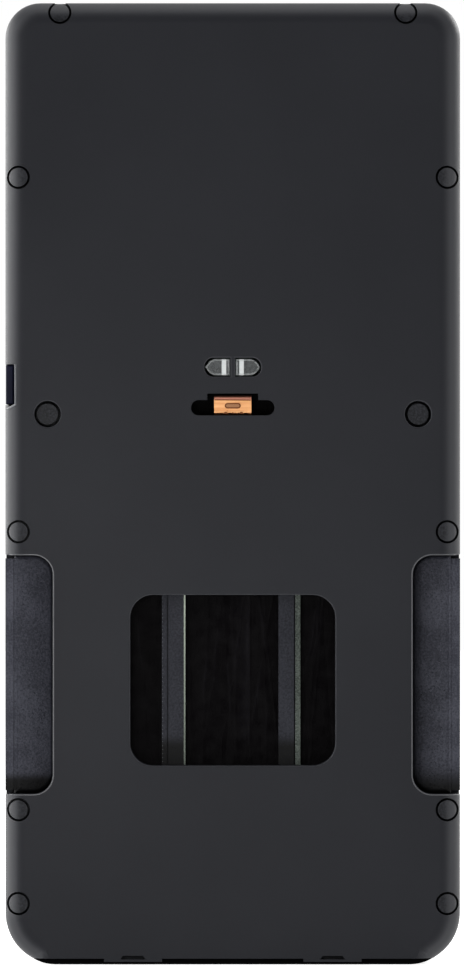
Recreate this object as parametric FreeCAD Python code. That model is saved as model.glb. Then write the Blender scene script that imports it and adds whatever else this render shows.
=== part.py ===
"""Hand-held Geiger counter, built up from its separate pieces, in millimetres.

Frame: +Z runs up the length of the instrument, the rear face looks along -Y, and the front face,
with the display and the keys, looks along +Y. The origin is the middle of the foot that it stands on.
Each piece is one STEP file in parts/, named after the piece.
"""
import FreeCAD
import Part

import math
import os

Vector = FreeCAD.Vector

# ---------------------------------------------------------------------------------------------
# Driving dimensions
# ---------------------------------------------------------------------------------------------
# Case
body_width = 84.0
body_height = 176.36
body_corner = 6.5          # upper corners of the outline
foot_corner = 9.5          # lower corners, which run on through the battery door
rear_round = 4.0           # rounding of the rear perimeter
front_round = 3.0          # rounding of the front perimeter
cover_wall = 2.4
housing_wall = 2.2
cover_depth = 10.0         # from the rear face to the joint between the two shells
gasket_thick = 0.5
gasket_inset = 0.4         # the joint shows as a groove this deep
edge_round = 0.3           # softened edge of the openings in the rear face
foot_height = 1.2          # how far the battery door stands below the shells
fit_gap = 0.15             # between pieces that slide into each other
slack = 0.3                # between pieces that only lie beside each other
weld = 0.2                 # how far shapes that make one solid run into each other

# Layers behind the rear face, which add up to the depth of the case
window_depth = 4.0         # rear face to the guard bars
bar_thick = 1.5
foam_thick = 0.5
tube_thick = 7.0
strap_thick = 0.6
tray_wall = 0.8
cell_diameter = 10.5
cell_play = 0.4
tray_front_gap = 0.2

# Detector window and what lies behind it
window_width = 37.8
window_height = 31.45
window_bottom = 36.8       # height of its lower edge above the ground
window_corner = 4.2
window_wall = 1.8
tube_margin = 1.9          # tube's body past the window, all round
frame_wall = 1.4
bar_left_inner = 8.75      # from the middle plane to a guard bar
bar_right_inner = 8.45
bar_left_width = 3.15
bar_right_width = 2.85
wing_width = 1.2           # lower step on the outer side of a guard bar
wing_drop = 0.45
groove_width = 0.25
strip_proud = 0.12         # bright strips stand this far out of the bars
strip_left_width = 0.3
strip_depth = 0.6          # depth of a strip's seat in its bar

# Side recesses with their grip pads
notch_bottom = 31.5
notch_height = 44.1
notch_reach = 8.85         # from the side of the case inwards
notch_corner = 3.7
notch_wall = 1.8
pad_depth = 3.6            # rear face to the pad, at the side of the case
pad_drop = 1.6             # the pad lies this much deeper at its inner edge
pad_round = 0.8
tongue_thick = 1.5         # wall of the front housing beside the pad
tongue_gap = 0.65
shelf_thick = 2.0

# Case screws, and the push-in plugs over them
screw_edge = 2.45          # from the side of the case to a screw
screw_top_edge = 1.9       # from the top of the case to a top screw
screw_heights = (11.35, 28.65, 79.9)
upper_screw_drop = 32.3    # from the top of the case to the upper side screws
top_screw_side = 10.1      # from the side of the case to a top screw
middle_screw_side = 7.85   # from the side of the case to a middle screw
middle_screw_height = 101.6
plug_radius = 1.87
plug_hole = 2.15
middle_plug_radius = 2.06
middle_plug_hole = 2.4
plug_skirt = 1.2           # height of the wider part of a plug that grips the hole
plug_play = 0.05           # radial gap round that part
post_margin = 1.2          # material round a counterbore
screw_radius = 1.0
screw_head_radius = 1.75
screw_head_height = 1.3
socket_share = 0.55        # hexagon socket, as a share of the head's radius
socket_floor_share = 0.4   # material under the socket, as a share of the head's height
screw_seat = 3.0           # material under a screw head
screw_bite = 6.0           # length of a screw inside the front housing
boss_radius = 1.75
hole_gap = 0.1             # radial gap round a screw in the cover
pilot_gap = 0.05           # radial gap round a screw in its boss

# Accessory slot with its sprung catch
slot_bottom = 101.35
slot_arm_height = 2.85
slot_arm_reach = 7.7       # middle plane to the end of an arm
slot_mouth_half = 4.7
slot_mouth_height = 4.05
leaf_thick = 0.4
leaf_half = 3.43
leaf_face_depth = 1.3      # rear face to the catch
leaf_hinge_drop = 14.0     # slot to the line where the leaf flexes
leaf_clamped = 4.5         # length held under the rivets
leaf_stand = 1.0           # leaf stands this far off the inside of the cover
leaf_bend = 0.5
latch_travel = 1.2         # how far the catch can be pushed in
cap_wall = 1.0             # cap that closes the slot from inside
cap_margin = 1.2           # from the slot to the cap's walls
cap_rib_height = 0.5       # ribs on the floor of the cap, behind the arms of the slot
cap_rib_width = 0.3
cap_rib_pitch = 0.75
cap_ribs = 4               # on each side
dimple_half = 1.45
dimple_radius = 0.42
dimple_proud = 0.14
rivet_radius = 0.8

# Rear indicator lenses
lens_height = 3.05
lens_middle = 110.25
lens_inner = 0.65          # middle plane to the flat end
lens_shoulder = 3.5        # middle plane to where the nose begins
lens_nose = 5.0            # middle plane to the tip
lens_gap = 0.2
lens_sink = 0.1
lens_flange = 0.8
led_height = 1.3

# Port in the left side, under its flap
port_bottom = 103.3
port_height = 7.5
port_recess = 1.8
port_front = 12.6          # from the joint to the front end of the recess
port_slant = 0.8           # lower edge drops by this much towards the side
flap_thick = 1.5
flap_nail = 1.9            # rear face to the end of the flap
flap_hinge_y = 6.2
usb_width = 7.5
usb_height = 2.6
usb_depth = 5.4
usb_shell = 0.3
port_wall = 1.6

# Battery door and its snap windows
door_corner = 2.5
door_rear = 11.2           # from the middle plane to the rear edge of the foot
door_front = 11.8
door_gap = 0.1
snap_side = 18.4           # middle plane to a snap window
snap_wide = 4.6
snap_narrow = 3.7
snap_height = 0.67
snap_web = 0.45            # material between a snap window and the edge of its tab
snap_depth = 2.0
tab_half = 5.35
tab_drop = 0.6             # tabs reach this far below the cover
tab_thick = 2.4
seal_height = 1.0
seal_depth = 0.8
seal_squeeze = 0.1         # seal stands this far out of its groove
seal_lift = 0.6            # lower edge of the housing to the seal

# Cells and tray
cell_count = 4
cell_length = 44.5
cell_gap = 0.5
nipple_radius = 1.9
nipple_height = 0.8
contact_thick = 0.3
contact_room = 2.9         # between a cell and the wall that carries its contact
contact_half = 3.6         # half the height of a contact plate
spring_width = 5.0         # bent strips that press the cells
spring_foot = 6.0
spring_crown = 2.4
tab_width = 3.0            # strips from the tray's contacts to the board
tab_lap = 4.0              # length of a strip on the board
rib_height = 2.5           # ribs between the cells

# Board
board_thick = 1.6
board_front_gap = 5.2      # front wall to the board
board_side = 5.2           # side of the case to the board
board_top = 7.2            # top of the case to the board
board_lift = 2.5           # top of the cell tray to the board
board_corner = 2.0
board_screw_side = 9.0
board_screw_end = 5.0
board_post_radius = 2.5
chip_field = 21.5          # lower end of the board to the first row of chips
connector_width = 18.0
connector_height = 2.5
connector_thick = 1.0
board_screw_reach = 2.2    # tip to the inside of the front wall
board_head_height = 1.1
block_gap = 6.5            # rear lenses to the tall parts on the board
block_height = 14.0
block_thick = 8.5
block_side = 3.5           # edge of the board to the high-voltage block
block_width = 23.5
block_corner = 1.0
can_left = -6.0
can_right = 13.0
can_thick = 2.8
can_corner = 0.6
clock_side = 12.0          # edge of the board to the middle of the clock cell
clock_holder_half = 6.5
clock_holder_thick = 1.2
clock_cell_thick = 2.0
clock_cell_radius = 5.0
flex_width = 16.0
flex_thick = 0.15
anode_clip_radius = 1.1
tube_lead_drop = 6.0       # top of the tube to its lead-through
tube_wall = 0.8
tube_corner = 1.0
mica_thick = 0.25
mica_lap = 0.6             # the mica lies this far on its seat, all round the window
mica_web = 0.4             # steel left behind the mica's seat
lead_radius = 1.8
lead_proud = 0.2           # glass stands this far out of the tube's back
lead_deep = 0.8            # and this far into the tube
anode_pin_radius = 0.4
anode_beam_half = 0.3
anode_beam_reach = 0.7     # length of the beam as a share of the tube's width
anode_wire_half = 0.1
anode_wire_pitch = 0.34    # as a share of half the tube's width
anode_wire_end = 4.0       # end of the tube to the ends of the wires
strap_half = 3.5           # half the height of the strap
strap_drop = 6.0           # middle of the window to the strap
strap_hook = 4.5           # how far the strap's ends reach down the frame
strap_play = 0.05
foam_margin = 0.3          # foam stands back from the window, all round
frame_ear_thick = 1.6
frame_ear_rim = 1.4        # material round a screw of the frame
frame_corner = 2.0
frame_screw_thinner = 0.2  # the frame's screws against the case screws
frame_screw_reach = 0.6    # tip to the inside of the cover
frame_head_smaller = 0.3
frame_head_height = 1.0

# Speaker, keys and display, one above another
speaker_radius = 9.5
speaker_thick = 3.6
speaker_end = 1.0          # lower end of the board to the speaker
cloth_thick = 0.3
cone_depth = 1.6
cone_rim = 1.2             # flat rim round the cone
cone_bottom = 0.35         # radius of the cone's bottom, as a share of the speaker's
dome_radius = 0.34         # dust dome, as a share of the speaker's radius
dome_ball = 0.4            # ball that the dome is a cap of
spacer_wall = 1.0
grille_slots = 5
grille_pitch = 2.6
grille_slot = 1.2
power_key_radius = 5.5
key_gap = 4.0              # between rows of the keypad
key_width = 12.0
key_height = 8.0
key_corner = 2.4
key_pitch = 16.0
key_flange = 1.0
key_flange_thick = 1.2
key_travel = 0.5
key_sink = 0.1             # key tops lie this far under the front face
keypad_depth = 0.8
keypad_margin = 2.5
keypad_corner = 4.0
switch_size = 6.0
switch_height = 2.7
plunger_radius = 1.7
plunger_bore_gap = 0.15
plunger_sunk = 0.4
display_gap = 6.0          # keypad to the display window
display_top = 15.5         # top of the case to the display window
display_side = 9.5         # side of the case to the display window
display_corner = 3.0
pane_thick = 1.4
pane_ledge = 3.0
lcd_thick = 3.4
lcd_frame_wall = 1.0
lcd_glass_thick = 1.6
alarm_drop = 9.0           # top of the case to the alarm lens
alarm_half = 7.0
lamp_half = 1.2            # half the width of a lamp on the board
alarm_lamp_half = 1.6
alarm_height = 3.0
alarm_flange = 0.8         # flange behind the wall, beyond the lens and deep
alarm_sink = 0.05          # lens lies this far under the front face
alarm_stem_half = 1.5
alarm_stem_high = 1.2      # half the height of the stem
alarm_stem_lap = 0.4       # stem runs this far into the flange

# ---------------------------------------------------------------------------------------------
# Places that follow from them
# ---------------------------------------------------------------------------------------------
half_width = body_width / 2
base_z = foot_height
top_z = foot_height + body_height
body_depth = (window_depth + bar_thick + foam_thick + tube_thick + strap_thick + slack + tray_wall
              + cell_diameter + cell_play + tray_front_gap + housing_wall)
rear_y = -body_depth / 2
front_y = body_depth / 2
joint_y = rear_y + cover_depth
cover_end_y = joint_y - gasket_thick / 2
housing_start_y = joint_y + gasket_thick / 2
cover_inner_y = rear_y + cover_wall
front_inner_y = front_y - housing_wall

window_half = window_width / 2
window_top = window_bottom + window_height
bar_y = rear_y + window_depth
bar_back_y = bar_y + bar_thick
tube_y = bar_back_y + foam_thick
tube_back_y = tube_y + tube_thick
tube_half = window_half + tube_margin
tube_bottom = window_bottom - tube_margin
tube_top = window_top + tube_margin
window_middle_z = (window_bottom + window_top) / 2

notch_top = notch_bottom + notch_height
notch_inner = half_width - notch_reach
pad_y = rear_y + pad_depth

head_seat_y = cover_end_y - screw_seat
plug_end_y = head_seat_y - screw_head_height - slack
side_screw_x = half_width - screw_edge
upper_screw_z = top_z - upper_screw_drop
top_screw_z = top_z - screw_top_edge
top_screw_x = half_width - top_screw_side
middle_screw_x = half_width - middle_screw_side

cell_pitch = cell_diameter + cell_gap
tray_half = (cell_count * cell_pitch) / 2 + tray_wall
tray_y = tube_back_y + strap_thick + slack
cell_y = tray_y + tray_wall + cell_play / 2 + cell_diameter / 2
plug_top_z = base_z + housing_wall + 0.7
cell_bottom = plug_top_z + contact_room
cell_top = cell_bottom + cell_length
tray_top = cell_top + nipple_height + contact_room + tray_wall

board_front_y = front_inner_y - board_front_gap
board_y = board_front_y - board_thick
board_half = half_width - board_side
board_bottom_z = tray_top + board_lift
board_top_z = top_z - board_top
board_screw_x = half_width - board_screw_side
board_screw_zs = (board_bottom_z + board_screw_end, board_top_z - board_screw_end)

speaker_z = board_bottom_z + speaker_end + speaker_radius
power_z = speaker_z + speaker_radius + key_gap + power_key_radius
row_z = power_z + power_key_radius + key_gap + key_height / 2
keypad_bottom = power_z - power_key_radius - keypad_margin
keypad_top = row_z + key_height / 2 + keypad_margin
keypad_half = key_pitch + key_width / 2 + keypad_margin
keypad_floor_y = front_y - keypad_depth
pane_bottom = keypad_top + display_gap
pane_top = top_z - display_top
pane_half = half_width - display_side
lcd_bottom = pane_bottom + pane_ledge - lcd_frame_wall
lcd_top = pane_top - pane_ledge + lcd_frame_wall
lcd_half = pane_half - pane_ledge + lcd_frame_wall
lcd_front_y = front_inner_y - slack
lcd_back_y = lcd_front_y - lcd_thick
alarm_z = top_z - alarm_drop
connector_top = lcd_bottom - 1.5

port_top = port_bottom + port_height
port_middle_z = port_bottom + usb_width / 2 + slack
usb_y = board_y - usb_height
led_y = board_y - led_height
leaf_y = cover_inner_y + leaf_stand
leaf_hinge_z = slot_bottom - leaf_hinge_drop

# Chips on the board's rear side: x, height above the chip field, width, height, thickness
CHIPS = [(16, 12, 8, 8, 1.1), (-24, 10, 10, 6, 1.0), (12, 0, 5, 4, 0.9)]
CHIPS += [(-22 + 4.5 * index, 4.5, 2.0, 1.2, 0.8) for index in range(6)]

KEYS = {
    "key_left": (-key_pitch, row_z),
    "key_mode": (0.0, row_z),
    "key_right": (key_pitch, row_z),
    "key_power": (0.0, power_z),
}


# ---------------------------------------------------------------------------------------------
# Helpers
# ---------------------------------------------------------------------------------------------
def block(x0, x1, y0, y1, z0, z1):
    """Box between two corners."""
    return Part.makeBox(x1 - x0, y1 - y0, z1 - z0, Vector(x0, y0, z0))


def rod(x, z, y0, y1, radius):
    """Cylinder along Y."""
    return Part.makeCylinder(radius, y1 - y0, Vector(x, y0, z), Vector(0, 1, 0))


def slab(x0, x1, z0, z1, y0, y1, radius, low_radius=None):
    """Rectangle in the XZ plane with rounded corners, thick along Y. The lower corners may differ."""
    limit = min(x1 - x0, z1 - z0) / 2 - 0.01
    high = min(radius, limit)
    low = high if low_radius is None else min(low_radius, limit)
    corners = (
        (x1 - high, z1 - high, high, 0),
        (x0 + high, z1 - high, high, 90),
        (x0 + low, z0 + low, low, 180),
        (x1 - low, z0 + low, low, 270),
    )
    edges = []
    points = []
    for x, z, bend, start in corners:
        arc = [corner_point(x, z, bend, start + turn) for turn in (0, 45, 90)]
        points.append(arc)
    for index, arc in enumerate(points):
        edges.append(Part.Arc(*[Vector(px, y0, pz) for px, pz in arc]).toShape())
        after = points[(index + 1) % 4][0]
        edges.append(Part.makeLine(Vector(arc[2][0], y0, arc[2][1]), Vector(after[0], y0, after[1])))
    return extrude(edges, Vector(0, y1 - y0, 0))


def corner_point(x, z, radius, degrees):
    """Point on a circle in the XZ plane."""
    angle = math.radians(degrees)
    return x + radius * math.cos(angle), z + radius * math.sin(angle)


def extrude(edges, along):
    """Solid swept from a closed loop of edges."""
    return Part.Face(Part.Wire(edges)).extrude(along)


def polygon(points, along):
    """Solid swept from a closed polygon."""
    vectors = [Vector(*point) for point in points]
    return Part.Face(Part.makePolygon(vectors + vectors[:1])).extrude(along)


def join(*shapes):
    """One solid from several that meet."""
    return shapes[0].multiFuse(list(shapes[1:])).removeSplitter()


def without(shape, *tools):
    """Shape less every tool."""
    return shape.cut(list(tools))


def mirrored(shape):
    """Same shape on the other side of the middle plane."""
    return shape.mirror(Vector(0, 0, 0), Vector(1, 0, 0))


def edges_on_plane(shape, y, inside=None):
    """Edges that lie in the plane at y, and within the box (x0, x1, z0, z1) if one is given."""
    found = []
    for edge in shape.Edges:
        box = edge.BoundBox
        flat = abs(box.YMin - y) < 1e-4 and abs(box.YMax - y) < 1e-4
        if flat and (inside is None or within(box, inside)):
            found.append(edge)
    return found


def within(box, limits):
    """Whether a bounding box lies inside (x0, x1, z0, z1)."""
    x0, x1, z0, z1 = limits
    return box.XMin > x0 and box.XMax < x1 and box.ZMin > z0 and box.ZMax < z1


def whole_outline(inset, y0, y1):
    """Outline of the instrument from the ground up, drawn in by inset, between two depths."""
    return slab(
        -half_width + inset, half_width - inset, inset, top_z - inset, y0, y1,
        body_corner - inset, foot_corner - inset,
    )


def outline(inset, y0, y1):
    """Outline of the two shells, which end above the battery door."""
    above = block(-body_width, body_width, y0 - 1, y1 + 1, base_z + inset, top_z + 1)
    return whole_outline(inset, y0, y1).common(above)


def rounded_rim(solid, y, radius):
    """Shell block with its rim at y rounded, all round but along the bottom."""
    rim = [edge for edge in edges_on_plane(solid, y) if edge.BoundBox.ZMax > base_z + 0.01]
    return solid.makeFillet(radius, rim)


def screw_places():
    """(x, z, plug radius, hole radius) of every case screw."""
    places = []
    for side in (-1, 1):
        for z in screw_heights + (upper_screw_z,):
            places.append((side * side_screw_x, z, plug_radius, plug_hole))
        places.append((side * top_screw_x, top_screw_z, plug_radius, plug_hole))
        places.append((side * middle_screw_x, middle_screw_height, middle_plug_radius, middle_plug_hole))
    return places


# ---------------------------------------------------------------------------------------------
# Rear cover
# ---------------------------------------------------------------------------------------------
def cover_block():
    """Outside of the rear cover, down to the joint."""
    return rounded_rim(outline(0, rear_y, housing_start_y), rear_y, rear_round)


def notch(side, grow, y0, y1):
    """Side recess, made larger by grow. It runs out past the side of the case."""
    solid = slab(
        notch_inner - grow, half_width + notch_reach, notch_bottom - grow, notch_top + grow, y0, y1,
        notch_corner + grow,
    )
    return solid if side > 0 else mirrored(solid)


def accessory_slot(y0, y1):
    """Slot with round ends, and the taller mouth in its middle."""
    radius = slot_arm_height / 2
    arm_top = slot_bottom + slot_arm_height
    arms = slab(-slot_arm_reach, slot_arm_reach, slot_bottom, arm_top, y0, y1, radius)
    mouth = block(-slot_mouth_half, slot_mouth_half, y0, y1, slot_bottom, slot_bottom + slot_mouth_height)
    return join(arms, mouth)


def lens_outline(side, grow, y0, y1):
    """Bullet outline of a rear lens, made larger by grow: a flat end, two flanks and a nose."""
    half = lens_height / 2 + grow
    flat = lens_inner - grow
    tip = lens_nose + grow
    bulge = (lens_shoulder + tip) / 2 + 0.30 * half
    corners = [Vector(lens_shoulder, y0, lens_middle - half), Vector(flat, y0, lens_middle - half),
               Vector(flat, y0, lens_middle + half), Vector(lens_shoulder, y0, lens_middle + half)]
    point = Vector(tip, y0, lens_middle)
    over = Vector(bulge, y0, lens_middle + 0.62 * half)
    under = Vector(bulge, y0, lens_middle - 0.62 * half)
    edges = [Part.makeLine(a, b) for a, b in zip(corners, corners[1:])]
    edges.append(Part.Arc(corners[3], over, point).toShape())
    edges.append(Part.Arc(point, under, corners[0]).toShape())
    solid = extrude(edges, Vector(0, y1 - y0, 0))
    return solid if side > 0 else mirrored(solid)


def port_recess_block():
    """Recess in the left side for the flap, open at the rear face, with a slanting lower edge there."""
    inner = -half_width + port_recess
    front = joint_y + port_front
    recess = block(-half_width - 1, inner, rear_y - 1, front, port_bottom, port_top)
    slant = polygon(
        [(-half_width - 1, rear_y - 1, port_bottom - port_slant), (inner, rear_y - 1, port_bottom),
         (-half_width - 1, rear_y - 1, port_bottom)],
        Vector(0, flap_nail + 1, 0),
    )
    return join(recess, slant)


def snap_window(side):
    """Pocket seen as a small dark trapezium at the lower edge of the cover."""
    low = base_z - tab_drop + snap_web
    high = low + snap_height
    middle = side * snap_side
    return polygon(
        [(middle - snap_wide / 2, rear_y - 1, low), (middle + snap_wide / 2, rear_y - 1, low),
         (middle + snap_narrow / 2, rear_y - 1, high), (middle - snap_narrow / 2, rear_y - 1, high)],
        Vector(0, snap_depth + 1, 0),
    )


def snap_tab(side):
    """Tab on the lower edge of the cover, which hides the edge of the door and holds a snap window."""
    middle = side * snap_side
    return block(middle - tab_half, middle + tab_half, rear_y, rear_y + tab_thick,
                 base_z - tab_drop, base_z + cover_wall)


def frame_screw_places():
    """(x, z) of the screws that hold the detector frame to the cover."""
    reach = frame_wall + screw_radius + 1.6
    x = tube_half - 8.0
    return [(side * x, z) for side in (-1, 1) for z in (tube_bottom - reach, tube_top + reach)]


def make_rear_cover():
    """Rear cover and the flat gasket under its rim."""
    outer = cover_block()
    cavity = outline(cover_wall, cover_inner_y, joint_y + 1)
    inside = []
    for x, z, _, hole in screw_places():
        inside.append(rod(x, z, rear_y, joint_y + gasket_thick / 2, hole + post_margin))
    for side in (-1, 1):
        inside.append(notch(side, notch_wall, rear_y, joint_y + gasket_thick / 2))
    inside.append(slab(-window_half - window_wall, window_half + window_wall, window_bottom - window_wall,
                       window_top + window_wall, rear_y, bar_y, window_corner + window_wall))
    for x, z in frame_screw_places():
        inside.append(rod(x, z, rear_y + 1, bar_back_y, screw_radius + 1.2))
    inside.append(block(-leaf_half - 0.6, leaf_half + 0.6, rear_y + 1, leaf_y,
                        leaf_hinge_z - leaf_clamped, leaf_hinge_z - fit_gap))
    inside.append(block(-half_width, -half_width + port_recess + port_wall, rear_y + 0.1,
                        joint_y + gasket_thick / 2, port_bottom - 2, port_top + 2))
    solid = join(outer.cut(cavity), *inside).common(outer)
    solid = join(solid, snap_tab(-1), snap_tab(1))

    past = joint_y + 1
    cuts = [
        slab(-window_half, window_half, window_bottom, window_top, rear_y - 1, past, window_corner),
        accessory_slot(rear_y - 1, leaf_y),
        port_recess_block(),
        snap_window(-1),
        snap_window(1),
    ]
    for side in (-1, 1):
        cuts.append(notch(side, 0, rear_y - 1, past))
        cuts.append(lens_outline(side, lens_gap, rear_y - 1, past))
    for x, z, _, hole in screw_places():
        cuts.append(rod(x, z, rear_y - 1, head_seat_y, hole))
        cuts.append(rod(x, z, head_seat_y - 1, past, screw_radius + hole_gap))
    for x, z in frame_screw_places():
        cuts.append(rod(x, z, cover_inner_y + 0.4, past, screw_radius - 0.2 + pilot_gap))
    for x, z in rivet_places():
        cuts.append(rod(x, z, cover_inner_y, leaf_y + 1, rivet_radius + pilot_gap))
    solid = without(solid, *cuts)

    rim = block(-body_width, body_width, cover_end_y, past, 0, top_z + 1)
    gasket = solid.common(rim).common(outline(gasket_inset, rear_y, past))
    cover = solid.cut(rim)
    return soften_edges(cover), gasket


def soften_edges(cover):
    """Rounds the edges of the openings that lie in the flat of the rear face."""
    reach = edge_round + slack
    near = middle_plug_hole + reach
    areas = [
        (-window_half - reach, window_half + reach, window_bottom - reach, window_top + reach),
        (-lens_nose - near, -lens_inner + reach, lens_middle - near, lens_middle + near),
        (lens_inner - reach, lens_nose + near, lens_middle - near, lens_middle + near),
    ]
    for side in (-1, 1):
        x0, x1 = sorted((side * (notch_inner - reach), side * half_width))
        areas.append((x0, x1, notch_bottom - reach, notch_top + reach))
        x = side * middle_screw_x
        areas.append((x - near, x + near, middle_screw_height - near, middle_screw_height + near))
    edges = []
    for area in areas:
        edges.extend(edges_on_plane(cover, rear_y, area))
    return cover.makeFillet(edge_round, edges)


def make_plugs():
    """Push-in plugs. Their faces follow the outside of the cover; a wider skirt grips the hole."""
    outer = cover_block()
    plugs = []
    for x, z, radius, hole in screw_places():
        stem = rod(x, z, rear_y, plug_end_y, radius)
        skirt = rod(x, z, plug_end_y - plug_skirt, plug_end_y, hole - plug_play)
        plugs.append(join(stem, skirt).common(outer))
    return plugs


def screw(x, z, seat_y, tip_y, radius, head_radius, head_height, facing):
    """Pan-head screw along Y with a hexagon socket. facing is -1 for a head on the rear side."""
    start, end = sorted((seat_y, tip_y))
    shank = rod(x, z, start, end, radius)
    head_start, head_end = sorted((seat_y, seat_y + facing * head_height))
    head = rod(x, z, head_start, head_end, head_radius)
    socket_floor = seat_y + facing * head_height * socket_floor_share
    socket_mouth = seat_y + facing * (head_height + 1)
    corners = [corner_point(x, z, head_radius * socket_share, 60 * turn) for turn in range(6)]
    socket = polygon([(px, socket_floor, pz) for px, pz in corners],
                     Vector(0, socket_mouth - socket_floor, 0))
    return without(join(shank, head), socket)


def make_case_screws():
    """Screws that hold the cover to the front housing."""
    return [
        screw(x, z, head_seat_y, housing_start_y + screw_bite, screw_radius, screw_head_radius,
              screw_head_height, -1)
        for x, z, _, _ in screw_places()
    ]


# ---------------------------------------------------------------------------------------------
# Front housing
# ---------------------------------------------------------------------------------------------
def side_tongue(side):
    """Strip of the housing's side wall that rises beside a grip pad."""
    solid = block(half_width - tongue_thick, half_width, pad_y, housing_start_y + 1,
                  notch_bottom + tongue_gap, notch_top - tongue_gap)
    return solid if side > 0 else mirrored(solid)


def shelf(side):
    """Ledge that carries a grip pad and closes the side recess from the front."""
    solid = block(notch_inner - notch_wall, half_width - 0.5, housing_start_y,
                  housing_start_y + shelf_thick, notch_bottom - notch_wall, notch_top + notch_wall)
    return solid if side > 0 else mirrored(solid)


def key_cutter(name, grow, y0, y1):
    """Outline of a key, made larger by grow."""
    x, z = KEYS[name]
    if name == "key_power":
        return rod(x, z, y0, y1, power_key_radius + grow)
    return slab(x - key_width / 2 - grow, x + key_width / 2 + grow, z - key_height / 2 - grow,
                z + key_height / 2 + grow, y0, y1, key_corner + grow)


def grille():
    """Slots in front of the speaker, longest in the middle."""
    slots = []
    for index in range(grille_slots):
        rise = (index - (grille_slots - 1) / 2) * grille_pitch
        reach = math.sqrt((speaker_radius - 2.0) ** 2 - rise ** 2)
        slots.append(slab(-reach, reach, speaker_z + rise - grille_slot / 2,
                          speaker_z + rise + grille_slot / 2, front_inner_y - 1, front_y + 1,
                          grille_slot / 2 - 0.01))
    return slots


def usb_mouth():
    """Opening for the plug, through the wall behind the flap."""
    middle_y = usb_y + usb_height / 2
    half = usb_width / 2 - usb_shell
    return block(-half_width, -half_width + port_recess + port_wall + 1,
                 middle_y - usb_height / 2 + usb_shell, middle_y + usb_height / 2 - usb_shell,
                 port_middle_z - half, port_middle_z + half)


def make_front_housing():
    """Front shell with its display, key, speaker, port and battery openings."""
    outer = rounded_rim(outline(0, housing_start_y, front_y), front_y, front_round)
    cavity = outline(housing_wall, housing_start_y - 1, front_inner_y)
    inside = []
    for x, z, _, _ in screw_places():
        inside.append(rod(x, z, housing_start_y, front_inner_y + 1, boss_radius))
    for x in (-board_screw_x, board_screw_x):
        for z in board_screw_zs:
            inside.append(rod(x, z, board_front_y, front_inner_y + 1, board_post_radius))
    for side in (-1, 1):
        inside.append(shelf(side))
    inside.append(block(-half_width, -half_width + port_recess + port_wall, housing_start_y,
                        joint_y + port_front + 2, port_bottom - 2, port_top + 2))
    ring_top = front_inner_y + 0.5
    ring_start = board_front_y + slack
    ring = rod(0, speaker_z, ring_start, ring_top, speaker_radius + fit_gap + 1.0)
    inside.append(ring.cut(rod(0, speaker_z, ring_start - 1, ring_top + 1, speaker_radius + fit_gap)))
    solid = join(outer.cut(cavity), *inside).common(outer)
    solid = join(solid, side_tongue(-1), side_tongue(1))

    cuts = [
        slab(-pane_half, pane_half, pane_bottom, pane_top, front_y - pane_thick, front_y + 1,
             display_corner),
        slab(-pane_half + pane_ledge, pane_half - pane_ledge, pane_bottom + pane_ledge,
             pane_top - pane_ledge, front_inner_y - 1, front_y + 1, display_corner / 2),
        slab(-keypad_half, keypad_half, keypad_bottom, keypad_top, keypad_floor_y, front_y + 1,
             keypad_corner),
        slab(-alarm_half, alarm_half, alarm_z - alarm_height / 2, alarm_z + alarm_height / 2,
             front_inner_y - 1, front_y + 1, alarm_height / 2),
        port_recess_block(),
        usb_mouth(),
        door_plug(fit_gap + door_gap, base_z - 1),
    ]
    cuts.extend(grille())
    for name in KEYS:
        cuts.append(key_cutter(name, fit_gap, front_inner_y - 1, front_y + 1))
    for x, z, _, _ in screw_places():
        cuts.append(rod(x, z, housing_start_y - 1, housing_start_y + screw_bite + 0.5,
                        screw_radius + pilot_gap))
    for x in (-board_screw_x, board_screw_x):
        for z in board_screw_zs:
            cuts.append(rod(x, z, board_front_y - 1, front_inner_y - 1, screw_radius - 0.2 + pilot_gap))
    return without(solid, *cuts)


def make_grip_pad(side):
    """Rubber pad on the shelf of a side recess."""
    solid = slab(notch_inner + fit_gap, half_width + notch_reach, notch_bottom + fit_gap,
                 notch_top - fit_gap, pad_y, housing_start_y, notch_corner - fit_gap)
    outer_x = half_width - tongue_thick - fit_gap
    keep = polygon(
        [(notch_inner, pad_y + pad_drop, 0), (outer_x, pad_y, 0), (outer_x, housing_start_y, 0),
         (notch_inner, housing_start_y, 0)],
        Vector(0, 0, top_z),
    )
    solid = solid.common(keep)
    slope = [face for face in solid.Faces if face.normalAt(0, 0).y < -0.5]
    solid = solid.makeFillet(pad_round, slope[0].Edges)
    return solid if side > 0 else mirrored(solid)


def make_pane():
    """Clear window over the display."""
    return slab(-pane_half + fit_gap, pane_half - fit_gap, pane_bottom + fit_gap, pane_top - fit_gap,
                front_y - pane_thick, front_y, display_corner - fit_gap)


def make_display():
    """Display frame, its glass and the foam pad between it and the board."""
    frame = block(-lcd_half, lcd_half, lcd_back_y, lcd_front_y, lcd_bottom, lcd_top)
    pocket = block(-lcd_half + lcd_frame_wall, lcd_half - lcd_frame_wall, lcd_front_y - lcd_glass_thick,
                   lcd_front_y + 1, lcd_bottom + lcd_frame_wall, lcd_top - lcd_frame_wall)
    glass = block(-lcd_half + lcd_frame_wall + 0.05, lcd_half - lcd_frame_wall - 0.05,
                  lcd_front_y - lcd_glass_thick, lcd_front_y - 0.1,
                  lcd_bottom + lcd_frame_wall + 0.05, lcd_top - lcd_frame_wall - 0.05)
    pad = block(-lcd_half + 2, lcd_half - 2, board_front_y, lcd_back_y, lcd_bottom + 2, lcd_top - 2)
    return frame.cut(pocket), glass, pad


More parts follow.
